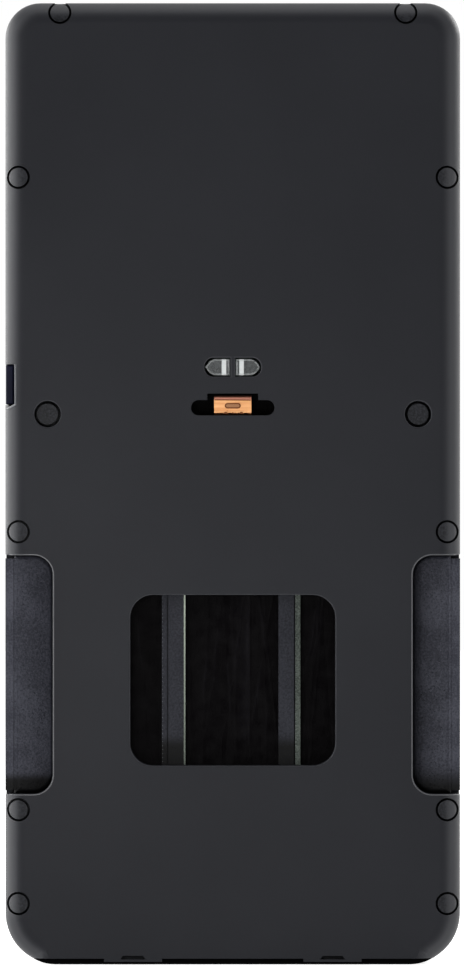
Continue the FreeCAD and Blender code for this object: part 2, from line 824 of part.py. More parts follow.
def make_alarm_lens():
    """Light pipe through the front wall, with a flange behind it."""
    body = slab(-alarm_half + fit_gap, alarm_half - fit_gap, alarm_z - alarm_height / 2 + fit_gap,
                alarm_z + alarm_height / 2 - fit_gap, front_inner_y - alarm_flange,
                front_y - alarm_sink, alarm_height / 2)
    flange_half = alarm_half + alarm_flange
    flange_high = alarm_height / 2 + alarm_flange
    flange = block(-flange_half, flange_half, front_inner_y - alarm_flange, front_inner_y,
                   alarm_z - flange_high, alarm_z + flange_high)
    stem = block(-alarm_stem_half, alarm_stem_half, board_front_y + led_height + slack,
                 front_inner_y - alarm_stem_lap, alarm_z - alarm_stem_high, alarm_z + alarm_stem_high)
    return join(body, flange, stem)


# ---------------------------------------------------------------------------------------------
# Accessory catch, rear lenses and port
# ---------------------------------------------------------------------------------------------
def rivet_places():
    """(x, z) of the rivets that hold the leaf spring."""
    middle = leaf_hinge_z - leaf_clamped / 2 - fit_gap
    return [(side * leaf_half * 0.5, middle) for side in (-1, 1)]


def make_leaf():
    """Sprung part of the leaf: a flat arm, and a formed catch that stands up in the slot."""
    face_y = rear_y + leaf_face_depth
    foot_z = slot_bottom + 0.15
    slope_z = foot_z + 0.7
    end_z = slot_bottom + slot_mouth_height - 0.3
    bend = leaf_bend
    outer = [(leaf_hinge_z, leaf_y), (foot_z - 0.5, leaf_y), (slope_z - 0.35, face_y),
             (end_z - bend, face_y)]
    inner = [(end_z - leaf_thick, leaf_y + leaf_thick), (end_z - leaf_thick, face_y + bend),
             (end_z - bend, face_y + leaf_thick), (slope_z, face_y + leaf_thick),
             (foot_z - 0.15, leaf_y + leaf_thick), (leaf_hinge_z, leaf_y + leaf_thick)]
    edges = []
    for (z0, y0), (z1, y1) in zip(outer, outer[1:]):
        edges.append(Part.makeLine(Vector(-leaf_half, y0, z0), Vector(-leaf_half, y1, z1)))
    half_bend = bend * (1 - math.sqrt(0.5))
    start = Vector(-leaf_half, face_y, end_z - bend)
    middle = Vector(-leaf_half, face_y + half_bend, end_z - half_bend)
    finish = Vector(-leaf_half, face_y + bend, end_z)
    edges.append(Part.Arc(start, middle, finish).toShape())
    lip = Vector(-leaf_half, leaf_y + leaf_thick, end_z)
    edges.append(Part.makeLine(finish, lip))
    points = [lip] + [Vector(-leaf_half, y, z) for z, y in inner] + [Vector(-leaf_half, leaf_y, leaf_hinge_z)]
    for first, second in zip(points, points[1:]):
        edges.append(Part.makeLine(first, second))
    leaf = extrude(edges, Vector(2 * leaf_half, 0, 0))
    middle_z = (slope_z + end_z - bend) / 2
    dimple = slab(-dimple_half, dimple_half, middle_z - dimple_radius, middle_z + dimple_radius,
                  face_y - dimple_proud, face_y + 0.1, dimple_radius)
    return join(leaf, dimple)


def make_latch_cap():
    """Cap inside the cover that closes the slot and the leaf off from the rest of the case."""
    half = slot_arm_reach + cap_margin
    low = leaf_hinge_z - leaf_clamped - cap_margin
    high = slot_bottom + slot_mouth_height + cap_margin
    floor_y = leaf_y + leaf_thick + latch_travel + slack
    shell = block(-half, half, cover_inner_y, floor_y + cap_wall, low, high)
    room = block(-half + cap_wall, half - cap_wall, cover_inner_y - 1, floor_y, low + cap_wall,
                 high - cap_wall)
    ribs = []
    for index in range(cap_ribs):
        x = slot_mouth_half + index * cap_rib_pitch
        for side in (-1, 1):
            ribs.append(block(side * x - cap_rib_width / 2, side * x + cap_rib_width / 2,
                              floor_y - cap_rib_height, floor_y + cap_wall / 2, slot_bottom - 1,
                              slot_bottom + slot_mouth_height))
    return join(shell.cut(room), *ribs)


def make_leaf_root():
    """Clamped end of the leaf, under its two rivets."""
    strip = block(-leaf_half, leaf_half, leaf_y, leaf_y + leaf_thick, leaf_hinge_z - leaf_clamped,
                  leaf_hinge_z - fit_gap)
    holes = [rod(x, z, leaf_y - 1, leaf_y + 1, rivet_radius + pilot_gap) for x, z in rivet_places()]
    return without(strip, *holes)


def make_rivets():
    """Rivets through the clamped end of the leaf."""
    rivets = []
    for x, z in rivet_places():
        shank = rod(x, z, cover_inner_y, leaf_y + leaf_thick, rivet_radius)
        head = rod(x, z, leaf_y + leaf_thick, leaf_y + leaf_thick + 0.5, rivet_radius + 0.5)
        rivets.append(join(shank, head))
    return rivets


def make_rear_lens(side):
    """Clear light pipe from a lamp on the board to the rear face, with a collar behind the cover."""
    pipe = lens_outline(side, 0, rear_y + lens_sink, led_y - slack)
    collar = lens_outline(side, 0.5, cover_inner_y, cover_inner_y + lens_flange)
    limit = block(0.1, half_width, rear_y, front_y, 0, top_z)
    if side < 0:
        limit = mirrored(limit)
    return join(pipe, collar.common(limit))


def make_port_flap():
    """Rubber flap in the side recess, from the nail gap to its hinge line."""
    outer = -half_width + 0.1
    solid = block(outer, outer + flap_thick, rear_y + flap_nail, flap_hinge_y,
                  port_bottom + fit_gap, port_top - fit_gap)
    corner = [edge for edge in solid.Edges
              if abs(edge.BoundBox.YMin - edge.BoundBox.YMax) < 1e-6
              and abs(edge.BoundBox.YMin - rear_y - flap_nail) < 1e-6]
    return solid.makeFillet(0.4, corner)


def make_flap_anchor():
    """Fixed end of the flap, bonded into the recess."""
    outer = -half_width + 0.1
    return block(outer, -half_width + port_recess, flap_hinge_y + fit_gap, joint_y + port_front,
                 port_bottom + fit_gap, port_top - fit_gap)


def make_usb_socket():
    """Metal shell of the socket, with its contact tongue."""
    x0 = -half_width + port_recess + port_wall + 0.1
    z0 = port_middle_z - usb_width / 2
    shell = block(x0, x0 + usb_depth, usb_y, board_y, z0, z0 + usb_width)
    hollow = block(x0 - 1, x0 + usb_depth - 1.0, usb_y + usb_shell, board_y - usb_shell, z0 + usb_shell,
                   z0 + usb_width - usb_shell)
    tongue = block(x0 + 0.6, x0 + usb_depth - 0.5, usb_y + usb_height / 2 - 0.3,
                   usb_y + usb_height / 2 + 0.3, z0 + 1.6, z0 + usb_width - 1.6)
    return join(shell.cut(hollow), tongue)


# ---------------------------------------------------------------------------------------------
# Detector
# ---------------------------------------------------------------------------------------------
def bar_edges(side):
    """Inner edge of a guard bar, and the edge between its crown and its wing."""
    if side < 0:
        return bar_left_inner, bar_left_inner + bar_left_width
    return bar_right_inner, bar_right_inner + bar_right_width


def bar_section(side, z0, z1):
    """Guard bar: a flat crown, a groove, and a lower wing on the outer side."""
    x0, x1 = bar_edges(side)
    x2 = x1 + wing_width
    crown = block(x0, x1, bar_y, bar_back_y, z0, z1)
    wing = block(x1 - 0.1, x2, bar_y + wing_drop, bar_back_y, z0, z1)
    groove = block(x1, x1 + groove_width, bar_y - 1, bar_y + 2 * wing_drop, z0, z1)
    solid = join(crown, wing).cut(groove)
    return solid if side > 0 else mirrored(solid)


def make_detector_frame():
    """Frame behind the window: guard bars in front, walls round the tube, and screw ears."""
    wall = frame_wall + slack
    x1 = tube_half + wall
    z0 = tube_bottom - wall
    z1 = tube_top + wall
    solid = slab(-x1, x1, z0, z1, bar_y, tube_back_y, frame_corner)
    for x, z in frame_screw_places():
        near = z0 + 1 if z < window_bottom else z1 - 1
        low, high = sorted((z, near))
        ear_end_y = bar_back_y + frame_ear_thick
        ear_radius = screw_radius + frame_ear_rim
        ear = join(rod(x, z, bar_back_y, ear_end_y, ear_radius),
                   block(x - ear_radius, x + ear_radius, bar_back_y, ear_end_y, low, high))
        solid = join(solid, ear)
    pocket = block(-tube_half - slack, tube_half + slack, bar_back_y, tube_back_y + 1,
                   tube_bottom - slack, tube_top + slack)
    opening = slab(-window_half, window_half, window_bottom, window_top, bar_y - 1, bar_back_y + 1,
                   window_corner)
    holes = [rod(x, z, bar_y - 1, tube_back_y, screw_radius - frame_screw_thinner + hole_gap)
             for x, z in frame_screw_places()]
    solid = without(solid, pocket, opening, *holes)
    bars = [bar_section(side, window_bottom - 0.5, window_top + 0.5) for side in (-1, 1)]
    solid = join(solid, *bars)
    return without(solid, *make_strips())


def strip(x0, x1, face_y):
    """Bright strip let into a guard bar, with its face a little proud of the bar."""
    return block(x0, x1, face_y - strip_proud, face_y + strip_depth, window_bottom, window_top)


def make_strips():
    """Bright strips: a narrow one on the inner edge of the left bar, a wide one on the right wing."""
    left_edge = -bar_edges(-1)[0]
    wing_start = bar_edges(1)[1] + groove_width
    wing_end = bar_edges(1)[1] + wing_width
    return [
        strip(left_edge - strip_left_width, left_edge, bar_y),
        strip(wing_start, wing_end, bar_y + wing_drop),
    ]


def make_tube_foam():
    """Foam ring between the frame and the tube."""
    ring = block(-tube_half, tube_half, bar_back_y, tube_y, tube_bottom, tube_top)
    half = window_half + foam_margin
    hole = slab(-half, half, window_bottom - foam_margin, window_top + foam_margin,
                bar_back_y - 1, tube_y + 1, window_corner)
    return ring.cut(hole)


def make_tube():
    """Flat Geiger tube: steel body, mica window, anode wires on their frame, and the lead-through."""
    wall = tube_wall
    lap = mica_lap
    body = slab(-tube_half, tube_half, tube_bottom, tube_top, tube_y, tube_back_y, tube_corner)
    hollow = block(-tube_half + wall, tube_half - wall, tube_y + mica_thick + mica_web,
                   tube_back_y - wall, tube_bottom + wall, tube_top - wall)
    seat = slab(-window_half - lap, window_half + lap, window_bottom - lap, window_top + lap,
                tube_y - 1, tube_y + mica_thick, window_corner)
    mouth = slab(-window_half + lap, window_half - lap, window_bottom + lap, window_top - lap,
                 tube_y - 1, tube_y + mica_thick + 1, window_corner - 1)
    lead_z = tube_top - tube_lead_drop
    lead_hole = rod(0, lead_z, tube_back_y - wall - 1, tube_back_y + 1, lead_radius)
    body = without(body, hollow, seat, mouth, lead_hole)
    mica = slab(-window_half - lap, window_half + lap, window_bottom - lap, window_top + lap,
                tube_y, tube_y + mica_thick, window_corner)
    glass = rod(0, lead_z, tube_back_y - wall - lead_deep, tube_back_y + lead_proud, lead_radius)
    glass = glass.cut(rod(0, lead_z, tube_y, tube_back_y + 1, anode_pin_radius))
    anode_y = tube_y + tube_thick / 2
    pin = rod(0, lead_z, anode_y, tube_back_y + strap_thick, anode_pin_radius)
    beam_half = tube_half * anode_beam_reach
    beam = block(-beam_half, beam_half, anode_y - anode_beam_half, anode_y + anode_beam_half,
                 lead_z - anode_beam_half, lead_z + anode_beam_half)
    wires = []
    for index in range(-2, 3):
        x = index * tube_half * anode_wire_pitch
        wires.append(block(x - anode_wire_half, x + anode_wire_half, anode_y - anode_wire_half,
                           anode_y + anode_wire_half, tube_bottom + anode_wire_end, lead_z))
    anode = join(pin, beam, *wires)
    return body, mica, glass, anode


def make_tube_strap():
    """Spring-steel strap over the back of the tube, hooked round the frame."""
    reach = tube_half + slack + frame_wall + strap_play
    middle = window_middle_z - strap_drop
    flat = block(-reach - strap_thick, reach + strap_thick, tube_back_y, tube_back_y + strap_thick,
                 middle - strap_half, middle + strap_half)
    sides = []
    for side in (-1, 1):
        hook = block(reach, reach + strap_thick, tube_back_y - strap_hook, tube_back_y + strap_thick,
                     middle - strap_half, middle + strap_half)
        sides.append(hook if side > 0 else mirrored(hook))
    return join(flat, *sides)


def make_frame_screws():
    """Screws through the frame's ears into the cover."""
    return [
        screw(x, z, bar_back_y + frame_ear_thick, cover_inner_y + frame_screw_reach,
              screw_radius - frame_screw_thinner, screw_head_radius - frame_head_smaller,
              frame_head_height, 1)
        for x, z in frame_screw_places()
    ]


# ---------------------------------------------------------------------------------------------
# Board and what it carries
# ---------------------------------------------------------------------------------------------
def make_board():
    """Main board, with holes for its screws and for the middle case screws' bosses."""
    solid = slab(-board_half, board_half, board_bottom_z, board_top_z, board_y, board_front_y,
                 board_corner)
    cuts = [rod(x, z, board_y - 1, board_front_y + 1, screw_radius - 0.2 + hole_gap)
            for x in (-board_screw_x, board_screw_x) for z in board_screw_zs]
    for x, z, _, _ in screw_places():
        cuts.append(rod(x, z, board_y - 1, board_front_y + 1, boss_radius + slack))
    return without(solid, *cuts)


def make_board_screws():
    """Screws that hold the board to its posts."""
    return [
        screw(x, z, board_y, front_inner_y - board_screw_reach, screw_radius - frame_screw_thinner,
              screw_head_radius, board_head_height, -1)
        for x in (-board_screw_x, board_screw_x) for z in board_screw_zs
    ]


def make_board_parts():
    """High-voltage block, shield can, clock cell and the loose chips on the board's rear side."""
    low = lens_middle + lens_height / 2 + block_gap
    high = low + block_height
    block_x = -board_half + block_side
    module = slab(block_x, block_x + block_width, low, high, board_y - block_thick, board_y,
                  block_corner)
    can = slab(can_left, can_right, low, high, board_y - can_thick, board_y, can_corner)
    clock_x = board_half - clock_side
    half = clock_holder_half
    holder_y = board_y - clock_holder_thick
    holder = slab(clock_x - half, clock_x + half, low, low + 2 * half, holder_y, board_y, board_corner)
    cell = rod(clock_x, low + half, holder_y - clock_cell_thick, holder_y, clock_cell_radius)
    chips = [
        block(x, x + width, board_y - thick, board_y, board_bottom_z + chip_field + z,
              board_bottom_z + chip_field + z + height)
        for x, z, width, height, thick in CHIPS
    ]
    chips.append(block(-connector_width / 2, connector_width / 2, board_front_y,
                       board_front_y + connector_thick, connector_top - connector_height, connector_top))
    return module, can, holder, cell, chips


def make_display_flex():
    """Ribbon from the connector on the board's front side to the back of the display frame."""
    half = flex_width / 2
    y = board_front_y + connector_thick / 2
    turn_z = lcd_bottom + 1.0
    rise = block(-half, half, y, y + flex_thick, connector_top, turn_z)
    turn = block(-half, half, y, lcd_back_y, turn_z - flex_thick, turn_z)
    return join(rise, turn)


def make_anode_clip():
    """Brass sleeve between the pin of the tube and the board."""
    z = tube_top - tube_lead_drop
    start = tube_back_y + slack
    sleeve = rod(0, z, start, board_y, anode_clip_radius)
    return sleeve.cut(rod(0, z, start - 1, tube_back_y + strap_thick, anode_pin_radius + pilot_gap))


def make_lamps():
    """Surface lamps behind the rear lenses, and the one behind the alarm lens."""
    lamps = []
    for side in (-1, 1):
        x = side * (lens_inner + lens_shoulder) / 2
        lamps.append(block(x - lamp_half, x + lamp_half, led_y, board_y, lens_middle - lamp_half,
                           lens_middle + lamp_half))
    lamps.append(block(-alarm_lamp_half, alarm_lamp_half, board_front_y, board_front_y + led_height,
                       alarm_z - lamp_half, min(alarm_z + lamp_half, board_top_z - weld)))
    return lamps


def make_speaker():
    """Speaker basket with its cone, and the cloth over the grille."""
    back_y = board_front_y
    front = back_y + speaker_thick
    basket = rod(0, speaker_z, back_y, front, speaker_radius)
    floor_y = front - cone_depth
    dish = Part.makeCone(speaker_radius * cone_bottom, speaker_radius - cone_rim, cone_depth,
                         Vector(0, floor_y, speaker_z), Vector(0, 1, 0))
    basket = basket.cut(dish)
    ball = speaker_radius * dome_ball
    cap = Part.makeSphere(ball, Vector(0, floor_y - ball / 2, speaker_z))
    cap = cap.common(rod(0, speaker_z, floor_y - weld, front, speaker_radius * dome_radius))
    cloth = rod(0, speaker_z, front_inner_y - cloth_thick, front_inner_y, speaker_radius)
    spacer = rod(0, speaker_z, front, front_inner_y - cloth_thick, speaker_radius)
    spacer = spacer.cut(rod(0, speaker_z, front - 1, front_inner_y, speaker_radius - spacer_wall))
    return join(basket, cap), cloth, spacer


def make_key(name):
    """Key cap with its retaining flange behind the front wall."""
    top_y = front_y - key_sink
    flange_y = front_inner_y - 0.1
    cap = key_cutter(name, 0, flange_y - key_flange_thick, top_y)
    cap = cap.makeFillet(0.5, edges_on_plane(cap, top_y))
    flange = key_cutter(name, key_flange, flange_y - key_flange_thick, flange_y)
    return join(cap, flange)


def make_plunger(name):
    """Switch plunger under a key."""
    x, z = KEYS[name]
    switch_top = board_front_y + switch_height
    return rod(x, z, switch_top - plunger_sunk, front_inner_y - 0.1 - key_flange_thick, plunger_radius)


def make_switches():
    """Switch bodies, each with the well that its plunger moves in."""
    bodies = []
    for x, z in KEYS.values():
        top = board_front_y + switch_height
        body = block(x - switch_size / 2, x + switch_size / 2, board_front_y, top, z - switch_size / 2,
                     z + switch_size / 2)
        well = rod(x, z, top - plunger_sunk - key_travel - 0.3, top + 1, plunger_radius + plunger_bore_gap)
        bodies.append(body.cut(well))
    return bodies


# ---------------------------------------------------------------------------------------------
# Cells, tray and battery door
# ---------------------------------------------------------------------------------------------
def cell_places():
    """(x, +1 or -1) of every cell: +1 where its positive end is up."""
    first = -(cell_count - 1) / 2 * cell_pitch
    return [(first + index * cell_pitch, 1 if index % 2 == 0 else -1) for index in range(cell_count)]


def make_cell(x, up):
    """Cell with its positive cap."""
    body = Part.makeCylinder(cell_diameter / 2, cell_length - nipple_height,
                             Vector(x, cell_y, cell_bottom + (0 if up > 0 else nipple_height)),
                             Vector(0, 0, 1))
    rims = [edge for edge in body.Edges if edge.BoundBox.ZLength < 1e-6]
    body = body.makeFillet(0.5, rims)
    cap_z = cell_top - nipple_height - 0.5 if up > 0 else cell_bottom
    cap = Part.makeCylinder(nipple_radius, nipple_height + 0.5, Vector(x, cell_y, cap_z), Vector(0, 0, 1))
    return join(body, cap)


def make_tray():
    """Tray that the cells lie in, open towards the front wall and at its lower end."""
    front = front_inner_y - tray_front_gap
    bottom = base_z + housing_wall + 0.05
    solid = block(-tray_half, tray_half, tray_y, front, bottom, tray_top)
    room = block(-tray_half + tray_wall, tray_half - tray_wall, tray_y + tray_wall, front + 1,
                 bottom - 1, tray_top - tray_wall)
    ribs = []
    for x, _ in cell_places()[1:]:
        ribs.append(block(x - cell_pitch / 2 - 0.2, x - cell_pitch / 2 + 0.2, tray_y,
                          tray_y + tray_wall + rib_height, cell_bottom, cell_top))
    return join(solid.cut(room), *ribs)


def contact_plate(x0, x1, z, rises):
    """Flat contact plate against a wall; rises is +1 for a plate whose free side is up."""
    low, high = sorted((z, z + rises * contact_thick))
    return block(x0, x1, cell_y - contact_half, cell_y + contact_half, low, high)


def bent_leaf(x, z, rises, height):
    """Bent contact strip on a plate at z. It presses a cell with its flat crown."""
    foot = spring_foot / 2
    crown = spring_crown / 2
    thick = contact_thick
    top = z + rises * height
    under = top - rises * thick
    y = cell_y - spring_width / 2
    profile = [
        (x - foot, y, z), (x - crown, y, top), (x + crown, y, top), (x + foot, y, z),
        (x + foot - thick, y, z), (x + crown - thick / 2, y, under), (x - crown + thick / 2, y, under),
        (x - foot + thick, y, z),
    ]
    return polygon(profile, Vector(0, spring_width, 0))


def make_contacts():
    """Plates and springs at the tray's top, and on the door."""
    places = cell_places()
    top_wall = tray_top - tray_wall
    reach = cell_diameter * 0.38
    x = places[0][0]
    tray_plates = [
        block(side * x - tab_width / 2, side * x + tab_width / 2, board_y - contact_thick, board_y,
              tray_top, board_bottom_z + tab_lap)
        for side in (-1, 1)
    ]
    door_plates = []
    tray_springs = []
    door_springs = []
    for first, second in ((0, 1), (2, 3)):
        tray_plates.append(contact_plate(places[first][0] - reach, places[second][0] + reach,
                                         top_wall, -1))
    door_plates.append(contact_plate(places[0][0] - reach, places[0][0] + reach, plug_top_z, 1))
    door_plates.append(contact_plate(places[1][0] - reach, places[2][0] + reach, plug_top_z, 1))
    door_plates.append(contact_plate(places[3][0] - reach, places[3][0] + reach, plug_top_z, 1))
    for x, up in places:
        if up > 0:
            base = plug_top_z + contact_thick
            door_springs.append(bent_leaf(x, base, 1, cell_bottom - base - slack))
        else:
            base = top_wall - contact_thick
            tray_springs.append(bent_leaf(x, base, -1, base - cell_top))
    return tray_plates, door_plates, tray_springs, door_springs


def door_plug(grow, bottom):
    """Part of the door that enters the housing, made larger by grow."""
    half = tray_half - tray_wall - fit_gap
    return block(-half - grow, half + grow, tray_y + tray_wall + fit_gap - grow,
                 front_inner_y - 2 * tray_front_gap + grow, bottom, plug_top_z)


def make_door():
    """Battery door: the foot plate that the instrument stands on, its plug and the seal round it."""
    foot_top = base_z - door_gap
    half_foot = half_width - foot_corner + math.sqrt(foot_corner ** 2 - (foot_corner - foot_top) ** 2)
    foot = block(-half_foot, half_foot, -door_rear, door_front, 0, foot_top)
    uprights = [edge for edge in foot.Edges if edge.BoundBox.ZLength > foot_top / 2]
    foot = foot.makeFillet(door_corner, uprights).common(whole_outline(0, -door_rear, door_front))
    plug = door_plug(0, foot_top - weld)
    half = tray_half - tray_wall - fit_gap
    y0 = tray_y + tray_wall + fit_gap
    y1 = front_inner_y - 2 * tray_front_gap
    seal_z = base_z + seal_lift
    out = seal_squeeze
    ring = block(-half - out, half + out, y0 - out, y1 + out, seal_z, seal_z + seal_height)
    core = block(-half + seal_depth, half - seal_depth, y0 + seal_depth, y1 - seal_depth, seal_z - 1,
                 seal_z + seal_height + 1)
    seal = ring.cut(core)
    door = without(join(foot, plug), seal)
    return door, seal


# ---------------------------------------------------------------------------------------------
# Every piece, and the files
# ---------------------------------------------------------------------------------------------
def build():
    """All pieces as {name: shape or list of shapes}."""
    pieces = {}
    pieces["rear_cover"], pieces["cover_gasket"] = make_rear_cover()
    pieces["front_housing"] = make_front_housing()
    pieces["screw_plugs"] = make_plugs()
    pieces["case_screws"] = make_case_screws()
    pieces["grip_left"] = make_grip_pad(-1)
    pieces["grip_right"] = make_grip_pad(1)
    pieces["rear_lens_left"] = make_rear_lens(-1)
    pieces["rear_lens_right"] = make_rear_lens(1)
    pieces["latch_leaf"] = make_leaf()
    pieces["latch_root"] = make_leaf_root()
    pieces["latch_rivets"] = make_rivets()
    pieces["latch_cap"] = make_latch_cap()
    pieces["port_flap"] = make_port_flap()
    pieces["flap_anchor"] = make_flap_anchor()
    pieces["usb_socket"] = make_usb_socket()
    pieces["detector_frame"] = make_detector_frame()
    pieces["guard_strips"] = make_strips()
    pieces["tube_foam"] = make_tube_foam()
    tube = make_tube()
    for name, shape in zip(("tube_body", "tube_mica", "tube_seal_glass", "tube_anode"), tube):
        pieces[name] = shape
    pieces["tube_strap"] = make_tube_strap()
    pieces["frame_screws"] = make_frame_screws()
    pieces["anode_clip"] = make_anode_clip()
    pieces["main_board"] = make_board()
    pieces["board_screws"] = make_board_screws()
    parts = make_board_parts()
    for name, shape in zip(("high_voltage_block", "shield_can", "clock_cell_holder", "clock_cell",
                            "board_chips"), parts):
        pieces[name] = shape
    pieces["board_lamps"] = make_lamps()
    pieces["display_pane"] = make_pane()
    pieces["display_frame"], pieces["display_glass"], pieces["display_pad"] = make_display()
    pieces["display_flex"] = make_display_flex()
    pieces["alarm_lens"] = make_alarm_lens()
    pieces["speaker"], pieces["speaker_cloth"], pieces["speaker_ring"] = make_speaker()
    pieces["key_switches"] = make_switches()
    for name in KEYS:
        pieces[name] = make_key(name)
        pieces[name + "_plunger"] = make_plunger(name)
    pieces["cells"] = [make_cell(x, up) for x, up in cell_places()]
    pieces["cell_tray"] = make_tray()
    plates = make_contacts()
    for name, shape in zip(("tray_contacts", "door_contacts", "tray_springs", "door_springs"), plates):
        pieces[name] = shape
    pieces["battery_door"], pieces["door_seal"] = make_door()
    return pieces


def main():
    """Writes one STEP file for every piece."""
    os.makedirs("parts", exist_ok=True)
    for name, shape in build().items():
        if isinstance(shape, list):
            shape = Part.makeCompound(shape)
        shape.exportStep(f"parts/{name}.step")
        print(f"{name}: {len(shape.Solids)} solid(s), {shape.Volume:.1f} mm3, valid {shape.isValid()}")


main()
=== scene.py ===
"""Looks of a hand-held Geiger counter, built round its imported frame.

Lengths are in metres; a name that ends in _mm is in millimetres. +Z is up the length of the instrument,
the rear face looks along -Y and the front face, with the display and the keys, along +Y.
"""
from __future__ import annotations

import logging
import math
import random
from dataclasses import dataclass, field, replace
from enum import Enum
from typing import NamedTuple

import bmesh
import bpy
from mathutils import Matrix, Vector

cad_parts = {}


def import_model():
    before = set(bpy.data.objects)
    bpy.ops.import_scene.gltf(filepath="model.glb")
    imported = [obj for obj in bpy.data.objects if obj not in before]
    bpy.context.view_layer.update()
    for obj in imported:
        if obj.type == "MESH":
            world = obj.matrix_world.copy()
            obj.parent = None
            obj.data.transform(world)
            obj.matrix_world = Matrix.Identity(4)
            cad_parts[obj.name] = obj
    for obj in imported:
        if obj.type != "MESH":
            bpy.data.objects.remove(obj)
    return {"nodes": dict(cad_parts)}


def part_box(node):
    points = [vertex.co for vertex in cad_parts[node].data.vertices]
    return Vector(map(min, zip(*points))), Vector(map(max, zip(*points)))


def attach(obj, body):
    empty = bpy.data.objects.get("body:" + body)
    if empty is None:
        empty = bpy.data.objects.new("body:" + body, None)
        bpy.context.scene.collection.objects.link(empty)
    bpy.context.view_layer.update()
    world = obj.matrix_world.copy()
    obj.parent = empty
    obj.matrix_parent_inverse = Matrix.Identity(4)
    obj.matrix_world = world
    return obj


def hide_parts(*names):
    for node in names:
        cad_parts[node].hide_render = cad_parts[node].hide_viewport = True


MM = 0.001
CASE = "case"
log = logging.getLogger("geiger_counter")

Tree = bpy.types.NodeTree
Socket = bpy.types.NodeSocket
Material = bpy.types.Material
Shape = tuple[list, list]


# --- Small tools
def linear(code: str) -> tuple[float, float, float, float]:
    """Turns an sRGB hex colour into linear light.

    Args:
        code: Colour such as "#2b2c30".

    Returns:
        Red, green, blue and an alpha of 1.
    """
    parts = [int(code[i:i + 2], 16) / 255 for i in (1, 3, 5)]
    light = [p / 12.92 if p <= 0.04045 else ((p + 0.055) / 1.055) ** 2.4 for p in parts]
    return (light[0], light[1], light[2], 1.0)


def add_node(tree: Tree, kind: str, values: dict | None = None,
             links: dict | None = None, **settings: object) -> bpy.types.Node:
    """Adds a node with its settings and links.

    Args:
        tree: Node tree that gets the node.
        kind: Blender's name of the node type.
        values: Input name or number, and the value set on it.
        links: Input name or number, and the output socket linked to it.
        **settings: Properties of the node itself.

    Returns:
        The new node.
    """
    node = tree.nodes.new(kind)
    for key, value in settings.items():
        setattr(node, key, value)
    for key, value in (values or {}).items():
        node.inputs[key].default_value = value
    for key, socket in (links or {}).items():
        tree.links.new(socket, node.inputs[key])
    return node


def math_node(tree: Tree, operation: str, *terms: Socket | float) -> Socket:
    """Adds a Math node.

    Args:
        tree: Node tree that gets the node.
        operation: Blender's name of the operation.
        *terms: An output socket or a number for each input.

    Returns:
        The result.
    """
    links = {i: term for i, term in enumerate(terms) if isinstance(term, bpy.types.NodeSocket)}
    values = {i: term for i, term in enumerate(terms) if i not in links}
    return add_node(tree, "ShaderNodeMath", values, links, operation=operation).outputs[0]


def ranged(tree: Tree, value: Socket, start: float = 0.0, end: float = 1.0, low: float = 0.0,
           high: float = 1.0, kind: str = "LINEAR") -> Socket:
    """Maps a value from one range to another.

    Args:
        tree: Node tree that gets the node.
        value: Value that is mapped.
        start: Value that gives low.
        end: Value that gives high.
        low: Result at the start.
        high: Result at the end.
        kind: Blender's name of the interpolation.

    Returns:
        The result.
    """
    ends = {"From Min": start, "From Max": end, "To Min": low, "To Max": high}
    return add_node(tree, "ShaderNodeMapRange", ends, {"Value": value}, interpolation_type=kind).outputs[0]


def mixed(tree: Tree, share: Socket, first: Socket | str, second: Socket | str) -> Socket:
    """Mixes two colours.

    Args:
        tree: Node tree that gets the node.
        share: How much of the second colour is taken.
        first: Colour at a share of 0: an output socket or sRGB hex.
        second: Colour at a share of 1: an output socket or sRGB hex.

    Returns:
        The mixed colour.
    """
    given = {6: first, 7: second}
    values = {key: linear(colour) for key, colour in given.items() if isinstance(colour, str)}
    links = {key: colour for key, colour in given.items() if key not in values}
    return add_node(tree, "ShaderNodeMix", values, {0: share, **links}, data_type="RGBA").outputs[2]


def along(tree: Tree, place: Socket, axis: str) -> Socket:
    """One coordinate of a place."""
    return add_node(tree, "ShaderNodeSeparateXYZ", None, {0: place}).outputs[axis]


def apart(tree: Tree, place: Socket, axis: str, middle: float = 0.0) -> Socket:
    """Distance of a place from a plane across an axis.

    Args:
        tree: Node tree that gets the nodes.
        place: Places that are measured.
        axis: X, Y or Z.
        middle: Where the plane lies on that axis.

    Returns:
        The distance.
    """
    value = along(tree, place, axis)
    if middle:
        value = math_node(tree, "SUBTRACT", value, middle)
    return math_node(tree, "ABSOLUTE", value)


def noise_of(tree: Tree, place: Socket, size: float, **settings: float) -> Socket:
    """Noise whose features have about the given size."""
    values = {"Scale": 1 / size, **{key.title(): value for key, value in settings.items()}}
    return add_node(tree, "ShaderNodeTexNoise", values, {"Vector": place}).outputs["Fac"]


def new_material(name: str) -> tuple[Material, Tree, bpy.types.Node, Socket]:
    """Starts a material: itself, its tree, its shader and Object coordinates.

    Args:
        name: Name of the material.

    Returns:
        The material, its tree, its shader and its Object coordinates.
    """
    material = bpy.data.materials.new(name)
    material.use_nodes = True
    tree = material.node_tree
    place = add_node(tree, "ShaderNodeTexCoord").outputs["Object"]
    return material, tree, tree.nodes["Principled BSDF"], place


def feed(shader: bpy.types.Node, **inputs: Socket | float) -> None:
    """Links or sets inputs of a shader, whose names are written with underscores.

    Args:
        shader: Shader of the material.
        **inputs: Output socket or number for each input.
    """
    for key, value in inputs.items():
        socket = shader.inputs[{"specular": "Specular IOR Level", "ior": "IOR"}.get(
            key, key.replace("_", " ").title())]
        if isinstance(value, bpy.types.NodeSocket):
            shader.id_data.links.new(value, socket)
        else:
            socket.default_value = value


def source_of(shader: bpy.types.Node, name: str) -> Socket:
    """Socket that an input of a shader is linked to."""
    return shader.inputs[name].links[0].from_socket


def bump_of(tree: Tree, height: Socket, strength: float, distance: float) -> Socket:
    """Normal that a height map bends."""
    return add_node(tree, "ShaderNodeBump", {"Strength": strength, "Distance": distance},
                    {"Height": height}).outputs[0]


